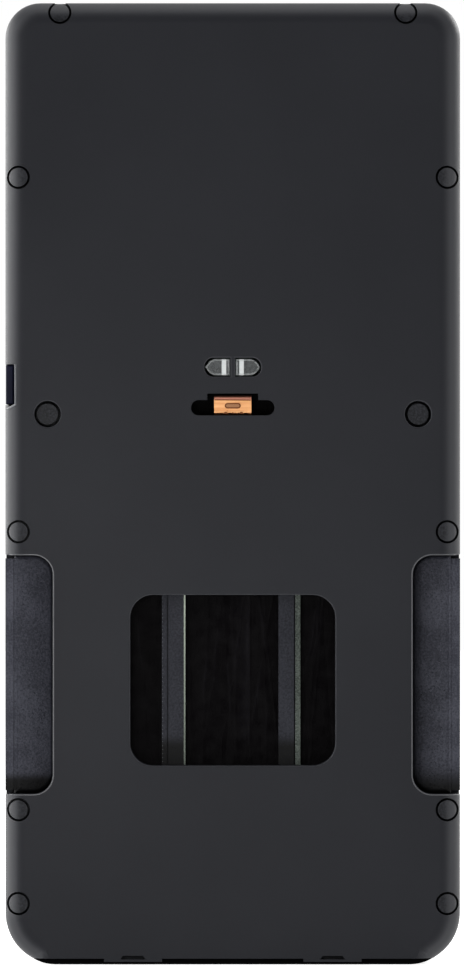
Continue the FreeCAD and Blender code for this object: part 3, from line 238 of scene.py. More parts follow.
def piece_from(name: str, points: list, faces: list, material: Material) -> bpy.types.Object:
    """Makes a mesh object at the origin, with its place in its mesh and its faces outwards.

    Args:
        name: Name of the piece.
        points: Corner positions.
        faces: Corner numbers of every face.
        material: Finish of the piece.

    Returns:
        The new object, linked to the scene.
    """
    mesh = bpy.data.meshes.new(name)
    mesh.from_pydata([tuple(p) for p in points], [], faces)
    mesh.materials.append(material)
    mesh.validate()
    work = bmesh.new()
    work.from_mesh(mesh)
    bmesh.ops.recalc_face_normals(work, faces=work.faces)
    work.to_mesh(mesh)
    work.free()
    thing = bpy.data.objects.new(name, mesh)
    bpy.context.scene.collection.objects.link(thing)
    return thing


def loft(rings: list[list], loop: bool = False) -> Shape:
    """Joins a row of rings into a closed body.

    Args:
        rings: Points of each ring; all rings have as many.
        loop: Whether the last ring joins the first one; otherwise both ends get a cap.

    Returns:
        Points and faces.
    """
    count, total = len(rings[0]), len(rings)
    faces = [
        (row * count + i, row * count + (i + 1) % count, (row + 1) % total * count + (i + 1) % count,
         (row + 1) % total * count + i)
        for row in range(total if loop else total - 1) for i in range(count)
    ]
    if not loop:
        last = (total - 1) * count
        faces = [tuple(range(count)), *faces, tuple(reversed(range(last, last + count)))]
    return [point for ring in rings for point in ring], faces


def prism(outline: list[tuple[float, float]], y0: float, y1: float) -> Shape:
    """Extrudes an outline of points (x, z) along Y, from y0 to y1."""
    return loft([[(x, y, z) for x, z in outline] for y in (y0, y1)])


def block(x0: float, z0: float, x1: float, z1: float, y0: float, y1: float) -> Shape:
    """Makes an upright block between two corners of the XZ plane."""
    return prism([(x0, z0), (x1, z0), (x1, z1), (x0, z1)], y0, y1)


def rear_skin(away: float) -> float:
    """Height of the rear face, which is rounded along its sides.

    Args:
        away: Distance from the middle plane.

    Returns:
        The Y of the face.
    """
    rounding = 4.0 * MM
    low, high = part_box("rear_cover")
    over = min(rounding, max(0.0, away - (high[0] - rounding)))
    return low[1] + rounding - math.sqrt(rounding ** 2 - over ** 2)


def tube(path: list[Vector], radius: float, sides: int = 10) -> Shape:
    """Sweeps a small circle along a path.

    Args:
        path: Places along the middle of the tube.
        radius: Radius of the tube.
        sides: Corners of the circle.

    Returns:
        Points and faces.
    """
    rings = []
    last = len(path) - 1
    for i, spot in enumerate(path):
        ahead = (path[min(i + 1, last)] - path[max(i - 1, 0)]).normalized()
        side = ahead.cross(Vector((0, -1, 0))).normalized()
        up = side.cross(ahead)
        turns = [2 * math.pi * k / sides for k in range(sides)]
        rings.append([spot + (side * math.cos(turn) + up * math.sin(turn)) * radius for turn in turns])
    return loft(rings)


def band(outer: list[tuple[float, float]], inner: list[tuple[float, float]], y0: float, y1: float,
         closed: bool = True) -> Shape:
    """Makes a flat band between two outlines in the XZ plane, with shared corners.

    Args:
        outer: Points (x, z) of the outer outline.
        inner: As many points of the inner outline.
        y0: Lower end.
        y1: Upper end.
        closed: Whether the last points join the first ones.

    Returns:
        Points and faces.
    """
    return loft([[(ox, y0, oz), (ix, y0, iz), (ix, y1, iz), (ox, y1, oz)]
                 for (ox, oz), (ix, iz) in zip(outer, inner)], closed)


def merged(parts: list[Shape]) -> Shape:
    """Puts several sets of points and faces into one.

    Args:
        parts: The sets.

    Returns:
        Points and faces.
    """
    points: list = []
    faces: list = []
    for some_points, some_faces in parts:
        shift = len(points)
        points.extend(some_points)
        faces.extend(tuple(i + shift for i in face) for face in some_faces)
    return points, faces


def dress(material: Material, *nodes: str) -> None:
    """Gives CAD nodes a finish.

    Args:
        material: The finish.
        *nodes: Names of the nodes.
    """
    for name in nodes:
        for slot in FRAME["nodes"][name].material_slots:
            slot.material = material
        log.info("dressed %s in %s", name, material.name)


def settle(thing: bpy.types.Object, body: str) -> None:
    """Makes a finished piece ride on a body and logs its name and the body.

    Args:
        thing: The piece.
        body: Body that it rides on.
    """
    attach(thing, body)
    log.info("made %s on %s", thing.name, body)


# --- Finishes
class Texture(Enum):
    """Pattern that gives a surface its grain."""

    SPARK = "spark-eroded mould grain"
    DRAWN = "lines left by rolling or drawing"
    WOVEN = "plain weave"


@dataclass(frozen=True)
class Finish:
    """Opaque finish with a slow drift of colour, a grain and gloss that varies a little.

    Attributes:
        name: Material and process.
        colour: Main colour, sRGB hex.
        drift: Second colour that the main one drifts to.
        roughness: Middle of the roughness.
        grain_mm: Size of one grain.
        depth_mm: Height of the grain.
        drift_mm: Size of a patch of colour drift.
        specular: Specular level of the shader.
        metallic: 1 for metals.
        texture: Pattern of the grain.
        mottle: How much the grain shows in the colour.
    """

    name: str
    colour: str
    drift: str
    roughness: float
    grain_mm: float
    depth_mm: float
    drift_mm: float = 14.0
    specular: float = 0.5
    metallic: float = 0.0
    texture: Texture = Texture.SPARK
    mottle: float = 0.35

    def grain(self, tree: Tree, place: Socket) -> Socket:
        """Height of the grain.

        Args:
            tree: Node tree that gets the nodes.
            place: Object coordinates.

        Returns:
            The height, between 0 and 1.
        """
        stretch = (0.04, 1.0, 1.0) if self.texture is Texture.DRAWN else (1.0, 1.0, 1.0)
        scaled = add_node(tree, "ShaderNodeMapping", {"Scale": stretch}, {"Vector": place}).outputs[0]
        size = self.grain_mm * MM
        if self.texture is Texture.WOVEN:
            # 6.3 turns a distance between threads into the scale of a wave.
            threads = [add_node(tree, "ShaderNodeTexWave", {"Scale": 1 / size / 6.3}, {"Vector": scaled},
                                bands_direction=axis).outputs["Fac"] for axis in ("X", "Z")]
            return math_node(tree, "MAXIMUM", *threads)
        return noise_of(tree, scaled, size, detail=3.0, roughness=0.6)

    def base(self, tree: Tree, place: Socket, height: Socket) -> Socket:
        """Colour with its slow drift and a trace of the grain.

        Args:
            tree: Node tree that gets the nodes.
            place: Object coordinates.
            height: Height of the grain.

        Returns:
            The colour.
        """
        slow = noise_of(tree, place, self.drift_mm * MM, detail=4.0)
        both = math_node(tree, "MULTIPLY_ADD", height, self.mottle, slow)
        middle, spread = (1 + self.mottle) / 2, 0.22
        return mixed(tree, ranged(tree, both, middle - spread, middle + spread), self.colour, self.drift)

    def build(self) -> Material:
        """Makes the material.

        Returns:
            The material.
        """
        material, tree, shader, place = new_material(self.name)
        height = self.grain(tree, place)
        wobble, least, strength = 0.06, 0.02, 0.7
        gloss = ranged(tree, height, low=max(least, self.roughness - wobble), high=self.roughness + wobble)
        feed(shader, base_color=self.base(tree, place, height), metallic=self.metallic, roughness=gloss,
             normal=bump_of(tree, height, strength, self.depth_mm * MM))
        if not self.metallic:
            feed(shader, specular=self.specular)
        self.finish_off(tree, shader)
        return material

    def finish_off(self, tree: Tree, shader: bpy.types.Node) -> None:
        """Hook for what a special finish adds to the shader; plain finishes add nothing."""


@dataclass(frozen=True)
class PaintedSheenPlastic(Finish):
    """Textured plastic whose edges and roundings are polished, by the mould maker and by hands, and painted
    paler there as a painted highlight.

    Attributes:
        edge_specular: Specular level on the roundings.
        edge_roughness: Roughness on the roundings.
        painted_sheen_colour: Paler colour painted on the roundings as a painted highlight, sRGB hex.
    """

    edge_specular: float = 0.34
    edge_roughness: float = 0.5
    painted_sheen_colour: str = "#2a2b2f"

    def finish_off(self, tree: Tree, shader: bpy.types.Node) -> None:
        """Makes the surface glossier where it turns away from the flat faces, and paints it paler there as a
        painted highlight.

        Args:
            tree: Node tree that gets the nodes.
            shader: Shader of the material.
        """
        flat = apart(tree, add_node(tree, "ShaderNodeTexCoord").outputs["Normal"], "Y")
        off_face = ranged(tree, flat, 0.998, 0.8, kind="SMOOTHSTEP")
        off_side = ranged(tree, flat, 0.02, 0.3, kind="SMOOTHSTEP")
        turned = math_node(tree, "MULTIPLY", off_face, off_side)
        gloss = add_node(tree, "ShaderNodeMix", {3: self.edge_roughness},
                         {0: turned, 2: source_of(shader, "Roughness")})
        # The gloss on the roundings is real; their paler colour is a painted highlight.
        feed(shader, specular=ranged(tree, turned, low=self.specular, high=self.edge_specular),
             roughness=gloss.outputs[0],
             base_color=mixed(tree, turned, source_of(shader, "Base Color"), self.painted_sheen_colour))


@dataclass(frozen=True)
class CrinkledFilm(Finish):
    """Matt film whose creases catch the light, shown by a paler colour painted on their ridges: painted
    glints.

    Attributes:
        crease: Paler colour of the painted glints on the creases, sRGB hex.
    """

    crease: str = "#1d1c1f"

    def finish_off(self, tree: Tree, shader: bpy.types.Node) -> None:
        """Mixes the painted glint colour in by the attribute that the film's mesh carries."""
        given = add_node(tree, "ShaderNodeAttribute", attribute_name="crease").outputs["Fac"]
        feed(shader, base_color=mixed(tree, given, source_of(shader, "Base Color"), self.crease))


@dataclass(frozen=True)
class ZonedFinish(Finish):
    """Finish that turns into a second, darker colour below and above given heights and towards the middle
    plane: painted shade.

    Attributes:
        dark: Painted shade colour outside the zone, sRGB hex.
        low: Height where the zone starts.
        high: Height where it ends.
        inner: Distance from the middle plane where the zone starts.
        edge: How much of the colour is left nearer to the middle plane than that.
        blur_mm: Width of the change.
    """

    dark: str = "#050506"
    low: float = 0.0
    high: float = 1.0
    inner: float = -1.0
    edge: float = 0.35
    blur_mm: float = 1.2

    def base(self, tree: Tree, place: Socket, height: Socket) -> Socket:
        """Colour of the zone, mixed with the painted shade colour past its ends and nearer to the middle
        plane.

        Args:
            tree: Node tree that gets the nodes.
            place: Object coordinates.
            height: Height of the grain.

        Returns:
            The colour.
        """
        blur = self.blur_mm * MM
        z = along(tree, place, "Z")
        # Painted shade: the zone fades to the dark colour at its ends and towards the middle plane.
        rise = ranged(tree, z, self.low - blur, self.low + blur, kind="SMOOTHSTEP")
        fall = ranged(tree, z, self.high + blur, self.high - blur, kind="SMOOTHSTEP")
        past = ranged(tree, apart(tree, place, "X"), self.inner - blur, self.inner + blur, low=self.edge,
                      kind="SMOOTHSTEP")
        inside = math_node(tree, "MULTIPLY", math_node(tree, "MULTIPLY", rise, fall), past)
        return mixed(tree, inside, self.dark, super().base(tree, place, height))


@dataclass(frozen=True)
class SplitFinish(Finish):
    """Finish whose colour is painted paler on the -X side of the middle plane, a painted highlight, which
    fades out lower down as painted shade.

    Attributes:
        other: Painted highlight colour on the -X side, sRGB hex.
        shaded_below: Height where nothing of that colour is left, in painted shade.
        whole: Height where all of it is left.
    """

    other: str = "#ffffff"
    shaded_below: float = 0.0
    whole: float = 1.0

    def base(self, tree: Tree, place: Socket, height: Socket) -> Socket:
        """Colour of each side, with the painted highlight on the -X side.

        Args:
            tree: Node tree that gets the nodes.
            place: Object coordinates.
            height: Height of the grain.

        Returns:
            The colour.
        """
        side = math_node(tree, "LESS_THAN", along(tree, place, "X"), 0.0)
        lit_share = ranged(tree, along(tree, place, "Z"), self.shaded_below, self.whole)
        return mixed(tree, math_node(tree, "MULTIPLY", side, lit_share), super().base(tree, place, height),
                     self.other)


@dataclass(frozen=True)
class CopperStrip(Finish):
    """Rolled copper alloy strip with dark specks and a darker pinkish colour above its fold.

    Attributes:
        tint: Colour above the fold, sRGB hex.
        fold: Height where the fold starts.
        fold_blur: Half the width of the change at the fold.
        speck: Colour of the specks, sRGB hex.
        speck_mm: Distance between specks.
    """

    tint: str = "#8a5c4d"
    fold: float = 1.0
    fold_blur: float = 0.05 * MM
    speck: str = "#7a4326"
    speck_mm: float = 0.9

    def base(self, tree: Tree, place: Socket, height: Socket) -> Socket:
        """Copper colour with the tint and the specks.

        Args:
            tree: Node tree that gets the nodes.
            place: Object coordinates.
            height: Height of the grain.

        Returns:
            The colour.
        """
        past = ranged(tree, along(tree, place, "Z"), self.fold - self.fold_blur, self.fold + self.fold_blur)
        tinted = mixed(tree, past, super().base(tree, place, height), self.tint)
        cells = add_node(tree, "ShaderNodeTexVoronoi", {"Scale": 1 / (self.speck_mm * MM)}, {"Vector": place})
        return mixed(tree, ranged(tree, cells.outputs["Distance"], 0.07, 0.12), self.speck, tinted)


@dataclass(frozen=True)
class ClearMoulding:
    """Clear polycarbonate, frosted inside, with a paler band near the flat end of a lens: a painted glint.

    Attributes:
        name: Material and process.
        colour: Colour, sRGB hex.
        glint_colour: Colour of the painted glint band, sRGB hex.
        glint_from: Distance from the middle plane where the painted glint starts.
        glint_to: Distance where it ends.
        clear: How much light goes through.
        smoke: Darker colour inside, sRGB hex.
    """

    name: str
    colour: str
    glint_colour: str
    glint_from: float
    glint_to: float
    clear: float = 0.35
    smoke: str = "#1e2021"

    def build(self) -> Material:
        """Makes the material.

        Returns:
            The material.
        """
        material, tree, shader, place = new_material(self.name)
        half = (self.glint_to - self.glint_from) / 2
        # Distance from the middle of the painted glint band, on either side of the middle plane.
        away = math_node(tree, "SUBTRACT", apart(tree, place, "X"), (self.glint_from + self.glint_to) / 2)
        edge = ranged(tree, math_node(tree, "ABSOLUTE", away), half, half * 1.2 + 1e-6)
        speckle = noise_of(tree, place, 0.45 * MM, detail=2.0)
        body = mixed(tree, speckle, self.colour, self.smoke)
        # 1.58 is the refractive index of polycarbonate.
        feed(shader, base_color=mixed(tree, edge, self.glint_colour, body), roughness=0.16, ior=1.58,
             normal=bump_of(tree, speckle, 0.3, 0.04 * MM), transmission_weight=self.clear)
        return material


@dataclass(frozen=True)
class PrintedPane:
    """Clear acrylic pane with a black border printed on its back.

    Attributes:
        name: Material and process.
        centre: Middle of the clear part, as (x, z).
        half: Half its width and half its height.
    """

    name: str
    centre: tuple[float, float]
    half: tuple[float, float]

    def build(self) -> Material:
        """Makes the material.

        Returns:
            The material.
        """
        material, tree, shader, place = new_material(self.name)
        reach = [math_node(tree, "SUBTRACT", apart(tree, place, axis, middle), half)
                 for axis, middle, half in zip("XZ", self.centre, self.half)]
        clear = math_node(tree, "LESS_THAN", math_node(tree, "MAXIMUM", *reach), 0.0)
        smear = noise_of(tree, place, 9 * MM, detail=5.0)
        # 1.49 is the refractive index of acrylic.
        feed(shader, base_color=mixed(tree, clear, "#08080a", "#eef1f0"), transmission_weight=clear,
             roughness=ranged(tree, smear, low=0.04, high=0.14), ior=1.49)
        return material


def metal(name: str, colour: str, drift: str, roughness: float, grain_mm: float, depth_mm: float,
          drawn: bool = False) -> Finish:
    """Finish of a bare metal, with the lines of drawing or rolling where drawn is set."""
    return Finish(name, colour, drift, roughness, grain_mm, depth_mm, metallic=1.0,
                  texture=Texture.DRAWN if drawn else Texture.SPARK)


def dress_all(table: dict[str, Finish]) -> None:
    """Builds each finish and gives it to the CAD nodes whose names are its key, apart by spaces."""
    for nodes, finish in table.items():
        dress(finish.build(), *nodes.split())


# --- Repeated pieces
@dataclass
class Repeater:
    """Geometry Nodes tree that sets one small shape at many places.

    Attributes:
        name: Name of the tree.
    """

    name: str
    tree: Tree = field(init=False)

    def start(self, inputs: list[tuple[str, str]]) -> bpy.types.Node:
        """Makes the tree with its named inputs.

        Args:
            inputs: Name and socket type of each input.

        Returns:
            The group input node.
        """
        self.tree = bpy.data.node_groups.new(self.name, "GeometryNodeTree")
        for name, kind in inputs:
            self.tree.interface.new_socket(name, in_out="INPUT", socket_type=kind)
        self.tree.interface.new_socket("Geometry", in_out="OUTPUT", socket_type="NodeSocketGeometry")
        return self.tree.nodes.new("NodeGroupInput")

    def end(self, given: bpy.types.Node, points: Socket, scale: Socket | None = None) -> None:
        """Sets a small ball on every point, and ends the tree in Realize Instances and Set Material.

        Args:
            given: The group input node, with inputs Radius and Material.
            points: Places of the balls.
            scale: Size of each ball against the others, or None for equal ones.
        """
        ball = add_node(self.tree, "GeometryNodeMeshIcoSphere", {"Subdivisions": 1},
                        {"Radius": given.outputs["Radius"]})
        links = {"Points": points, "Instance": ball.outputs[0], **({"Scale": scale} if scale else {})}
        placed = add_node(self.tree, "GeometryNodeInstanceOnPoints", None, links)
        real = add_node(self.tree, "GeometryNodeRealizeInstances", None, {"Geometry": placed.outputs[0]})
        done = add_node(self.tree, "GeometryNodeSetMaterial", None,
                        {"Geometry": real.outputs[0], "Material": given.outputs["Material"]})
        add_node(self.tree, "NodeGroupOutput", None, {0: done.outputs[0]})

    def run(self, name: str, mesh: bpy.types.Mesh, values: dict[str, object]) -> bpy.types.Object:
        """Runs the tree on a mesh and keeps the result as a plain mesh.

        Args:
            name: Name of the new piece.
            mesh: Mesh that the tree starts from.
            values: Input name and value.

        Returns:
            The new object.
        """
        carrier = bpy.data.objects.new(name, mesh)
        bpy.context.scene.collection.objects.link(carrier)
        modifier = carrier.modifiers.new(self.name, "NODES")
        modifier.node_group = self.tree
        for item in self.tree.interface.items_tree:
            if item.item_type == "SOCKET" and item.in_out == "INPUT" and item.name in values:
                modifier[item.identifier] = values[item.name]
        seen = carrier.evaluated_get(bpy.context.evaluated_depsgraph_get())
        result = bpy.data.meshes.new_from_object(seen)
        carrier.modifiers.remove(modifier)
        carrier.data = result
        return carrier


def bead_rows() -> Repeater:
    """Tree that sets small beads along a line between two points.

    Returns:
        The tree, ready to run.
    """
    rows = Repeater("bead_row")
    given = rows.start([("Geometry", "NodeSocketGeometry"), ("Count", "NodeSocketInt"),
                        ("Start", "NodeSocketVector"), ("End", "NodeSocketVector"),
                        ("Radius", "NodeSocketFloat"), ("Material", "NodeSocketMaterial")])
    line = add_node(rows.tree, "GeometryNodeMeshLine", None,
                    {"Count": given.outputs["Count"], "Start Location": given.outputs["Start"],
                     "Offset": given.outputs["End"]}, mode="END_POINTS")
    rows.end(given, line.outputs[0])
    return rows


def stipples() -> Repeater:
    """Tree that scatters low bumps of uneven size over faces.

    Returns:
        The tree, ready to run.
    """
    scatter = Repeater("stipple")
    given = scatter.start([("Geometry", "NodeSocketGeometry"), ("Distance", "NodeSocketFloat"),
                           ("Radius", "NodeSocketFloat"), ("Seed", "NodeSocketInt"),
                           ("Material", "NodeSocketMaterial")])
    spots = add_node(scatter.tree, "GeometryNodeDistributePointsOnFaces", {"Density Max": 9.0e6},
                     {"Mesh": given.outputs["Geometry"], "Distance Min": given.outputs["Distance"],
                      "Seed": given.outputs["Seed"]}, distribute_method="POISSON")
    size = add_node(scatter.tree, "FunctionNodeRandomValue", {2: 0.5, 3: 1.0, "Seed": 5}, data_type="FLOAT")
    scatter.end(given, spots.outputs[0], size.outputs[1])
    return scatter


# --- Sub-assemblies
@dataclass
class CaseShells:
    """Rear cover, front housing, plugs, seals and the battery door."""

    # ABS with a spark-eroded texture: matt dark grey, soft wide highlights on the rounded edges, partly
    # painted as a paler colour there.
    shell: Finish = PaintedSheenPlastic("spark-eroded ABS, dark grey", "#18191d", "#1c1d21", 0.5, 0.5, 0.012,
                                   drift_mm=30, specular=0.12)
    # The plugs come from another mould: a slightly coarser mottle. Their rims get the paler colour of a
    # painted highlight.
    plug: Finish = PaintedSheenPlastic("moulded ABS plug", "#0f1013", "#232428", 0.45, 0.4, 0.05,
                                  specular=0.12, mottle=2.2)
    # The door is unpainted black ABS.
    door: Finish = Finish("moulded black ABS", "#010102", "#040405", 0.6, 0.5, 0.02, specular=0.02)
    seal: Finish = Finish("moulded silicone seal", "#0d0d0e", "#151516", 0.7, 0.4, 0.02)

    # Plugs: width against the hole, and a width that is over one plug's and under their distance.
    shrink: float = 0.93
    plug_wide: float = 5 * MM
    # Bead along a recess: its radius, the radius of the corners, its gap to the pad, its end beside the side
    # wall and how far its middle lies below the skin.
    notch_bead: float = 0.13 * MM
    notch_round: float = 3.7 * MM
    notch_gap: float = 0.25 * MM
    notch_outer: float = 41.2 * MM
    notch_sink: float = 0.05 * MM

    def notch_edge(self, way: int, material: Material) -> None:
        """Lays a fine bead in a paler finish, a painted highlight, along the edge of one side recess.

        Args:
            way: -1 for the left recess, 1 for the right one.
            material: Finish of the bead.
        """
        low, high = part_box("grip_left")
        inner = -high[0] - self.notch_gap
        z0, z1 = low[2] - self.notch_gap, high[2] + self.notch_gap
        outer, turn = self.notch_outer, self.notch_round
        flat = [(outer + (inner + turn - outer) * i / 8, z1) for i in range(8)]
        flat += [(inner + turn - turn * math.sin(a), z1 - turn + turn * math.cos(a))
                 for a in (math.pi / 2 * i / 10 for i in range(11))]
        flat += [(inner + turn - turn * math.cos(a), z0 + turn - turn * math.sin(a))
                 for a in (math.pi / 2 * i / 10 for i in range(11))]
        flat += [(inner + turn + (outer - inner - turn) * i / 8, z0) for i in range(1, 9)]
        path = [Vector((way * x, rear_skin(x) + self.notch_sink, z)) for x, z in flat]
        side = "left" if way < 0 else "right"
        settle(piece_from(f"notch_edge_{side}", *tube(path, self.notch_bead), material), CASE)

    def caps(self, material: Material) -> None:
        """Makes the caps of the plugs a hair narrower than their holes, so that a dark ring shows.

        Args:
            material: Finish of the caps.
        """
        source = FRAME["nodes"]["screw_plugs"].data
        points = [vertex.co.copy() for vertex in source.vertices]
        plugs: list[list[Vector]] = []
        for point in points:
            plug = next((plug for plug in plugs if (plug[0] - point).xz.length < self.plug_wide), None)
            if plug is None:
                plug = []
                plugs.append(plug)
            plug.append(point)
        for plug in plugs:
            for axis in (0, 2):
                values = [point[axis] for point in plug]
                middle = (min(values) + max(values)) / 2
                for point in plug:
                    point[axis] = middle + (point[axis] - middle) * self.shrink
        faces = [tuple(polygon.vertices) for polygon in source.polygons]
        thing = piece_from("screw_plug_caps", points, faces, material)
        for polygon, other in zip(thing.data.polygons, source.polygons):
            polygon.use_smooth = other.use_smooth
        settle(thing, CASE)
        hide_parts("screw_plugs")

    def build(self) -> None:
        """Dresses the shells."""
        dress(self.shell.build(), "rear_cover", "front_housing")
        # The edges of the side recesses are polished in the mould and catch a thin line of light; the bead's
        # paler colour paints that highlight.
        polished = PaintedSheenPlastic("ABS recess bead, painted highlight", "#2a2b2f", "#333438", 0.35, 0.5, 0.004,
                                  specular=0.5, edge_specular=0.7, edge_roughness=0.35,
                                  painted_sheen_colour="#3e3f43").build()
        self.notch_edge(-1, polished)
        self.notch_edge(1, polished)
        plug = self.plug.build()
        dress(plug, "screw_plugs")
        self.caps(plug)
        dress(self.door.build(), "battery_door")
        dress(self.seal.build(), "cover_gasket", "door_seal")


@dataclass
class GripPads:
    """Rubber pads in the side recesses, with a raised stipple."""

    # Nitrile rubber from a sand-blasted mould: near black, grainy, no sharp highlight; painted shade darkens
    # the lower end of each pad and its side by the inner wall.
    rubber: ZonedFinish = ZonedFinish("sand-blasted nitrile rubber", "#22232a", "#393a42", 0.6, 0.36, 0.12,
                                      drift_mm=6, specular=0.14, mottle=1.5, dark="#010102", low=0.0348,
                                      high=0.2, inner=0.0342, blur_mm=2.4)
    left_inner: float = 0.0328
    left_blur_mm: float = 1.0
    lip_colour: str = "#26272f"
    lip_drift: str = "#404149"
    # Stipple: distance and radius of the bumps, and the bare rim round it.
    spacing: float = 0.62 * MM
    bump: float = 0.17 * MM
    rim: float = 1.1 * MM
    # Least share of a face's normal towards -Y for the stipple to lie on it.
    level: float = 0.93
    # Lip: how far it stays back from the side and from the ends of the pad, its section and that of its toe.
    lip_back: float = 0.06 * MM
    lip_ends: float = 0.55 * MM
    lip_wide: float = 1.42 * MM
    lip_thick: float = 0.24 * MM
    toe_wide: float = 1.5 * MM
    toe_drop: float = 0.27 * MM

    def lip(self, side: str, material: Material) -> None:
        """Lays the thin lip of one pad over the end of the side wall.

        Args:
            side: "left" or "right".
            material: Finish of the lip.
        """
        low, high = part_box(f"grip_{side}")
        way = -1 if side == "left" else 1
        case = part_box("front_housing")
        outer = (case[0][0] if way < 0 else case[1][0]) - way * self.lip_back
        inner = outer - way * self.lip_wide
        toe = inner - way * self.toe_wide
        z0, z1 = low[2] + self.lip_ends, high[2] - self.lip_ends
        face = low[1]
        section = [(outer, face - self.lip_thick), (inner, face - self.lip_thick),
                   (inner - way * 0.05 * MM, face - 0.02 * MM), (toe, face + self.toe_drop),
                   (toe, face + 3 * self.toe_drop), (outer, face + self.toe_drop)]
        shape = loft([[(x, y, z) for x, y in section] for z in (z0, z1)])
        settle(piece_from(f"grip_lip_{side}", *shape, material), CASE)

    def stipple(self, side: str, seed: int, tree: Repeater, material: Material) -> None:
        """Scatters bumps over the sloping face of one pad.

        Args:
            side: "left" or "right".
            seed: Seed of the scatter.
            tree: Tree that scatters.
            material: Finish of the bumps.
        """
        cad = FRAME["nodes"][f"grip_{side}"]
        low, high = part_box(f"grip_{side}")
        points: list = []
        faces: list = []
        for polygon in cad.data.polygons:
            corners = [cad.data.vertices[i].co for i in polygon.vertices]
            middle = sum(corners, Vector()) / len(corners)
            flat = -polygon.normal.y > self.level
            if flat and all(low[k] + self.rim / 2 < middle[k] < high[k] - self.rim / 2 for k in (0, 2)):
                faces.append(tuple(range(len(points), len(points) + len(corners))))
                points.extend(corners)
        mesh = bpy.data.meshes.new("pad_face")
        mesh.from_pydata([tuple(p) for p in points], [], faces)
        name = f"grip_stipple_{side}"
        thing = tree.run(name, mesh, {"Distance": self.spacing, "Radius": self.bump, "Seed": seed,
                                      "Material": material})
        settle(thing, CASE)

    def build(self) -> None:
        """Dresses both pads and adds their stipple."""
        # The left pad is lit right up to its inner edge, so its painted shade there is narrower.
        left = replace(self.rubber, name=f"{self.rubber.name}, left", inner=self.left_inner,
                       blur_mm=self.left_blur_mm)
        tree = stipples()
        for side, seed, finish in (("left", 3, left), ("right", 8, self.rubber)):
            material = finish.build()
            dress(material, f"grip_{side}")
            self.stipple(side, seed, tree, material)
            # The lip is coloured a little paler than the pad, and keeps the pad's painted shade at its lower
            # end.
            self.lip(side, replace(finish, name=f"{finish.name}, lip", colour=self.lip_colour,
                                   drift=self.lip_drift).build())


class Crease(NamedTuple):
    """Crease of the film: a wavy line with its direction, place, width, height, phase and wave height."""

    angle: float
    offset: float
    width: float
    height: float
    phase: float
    wave: float


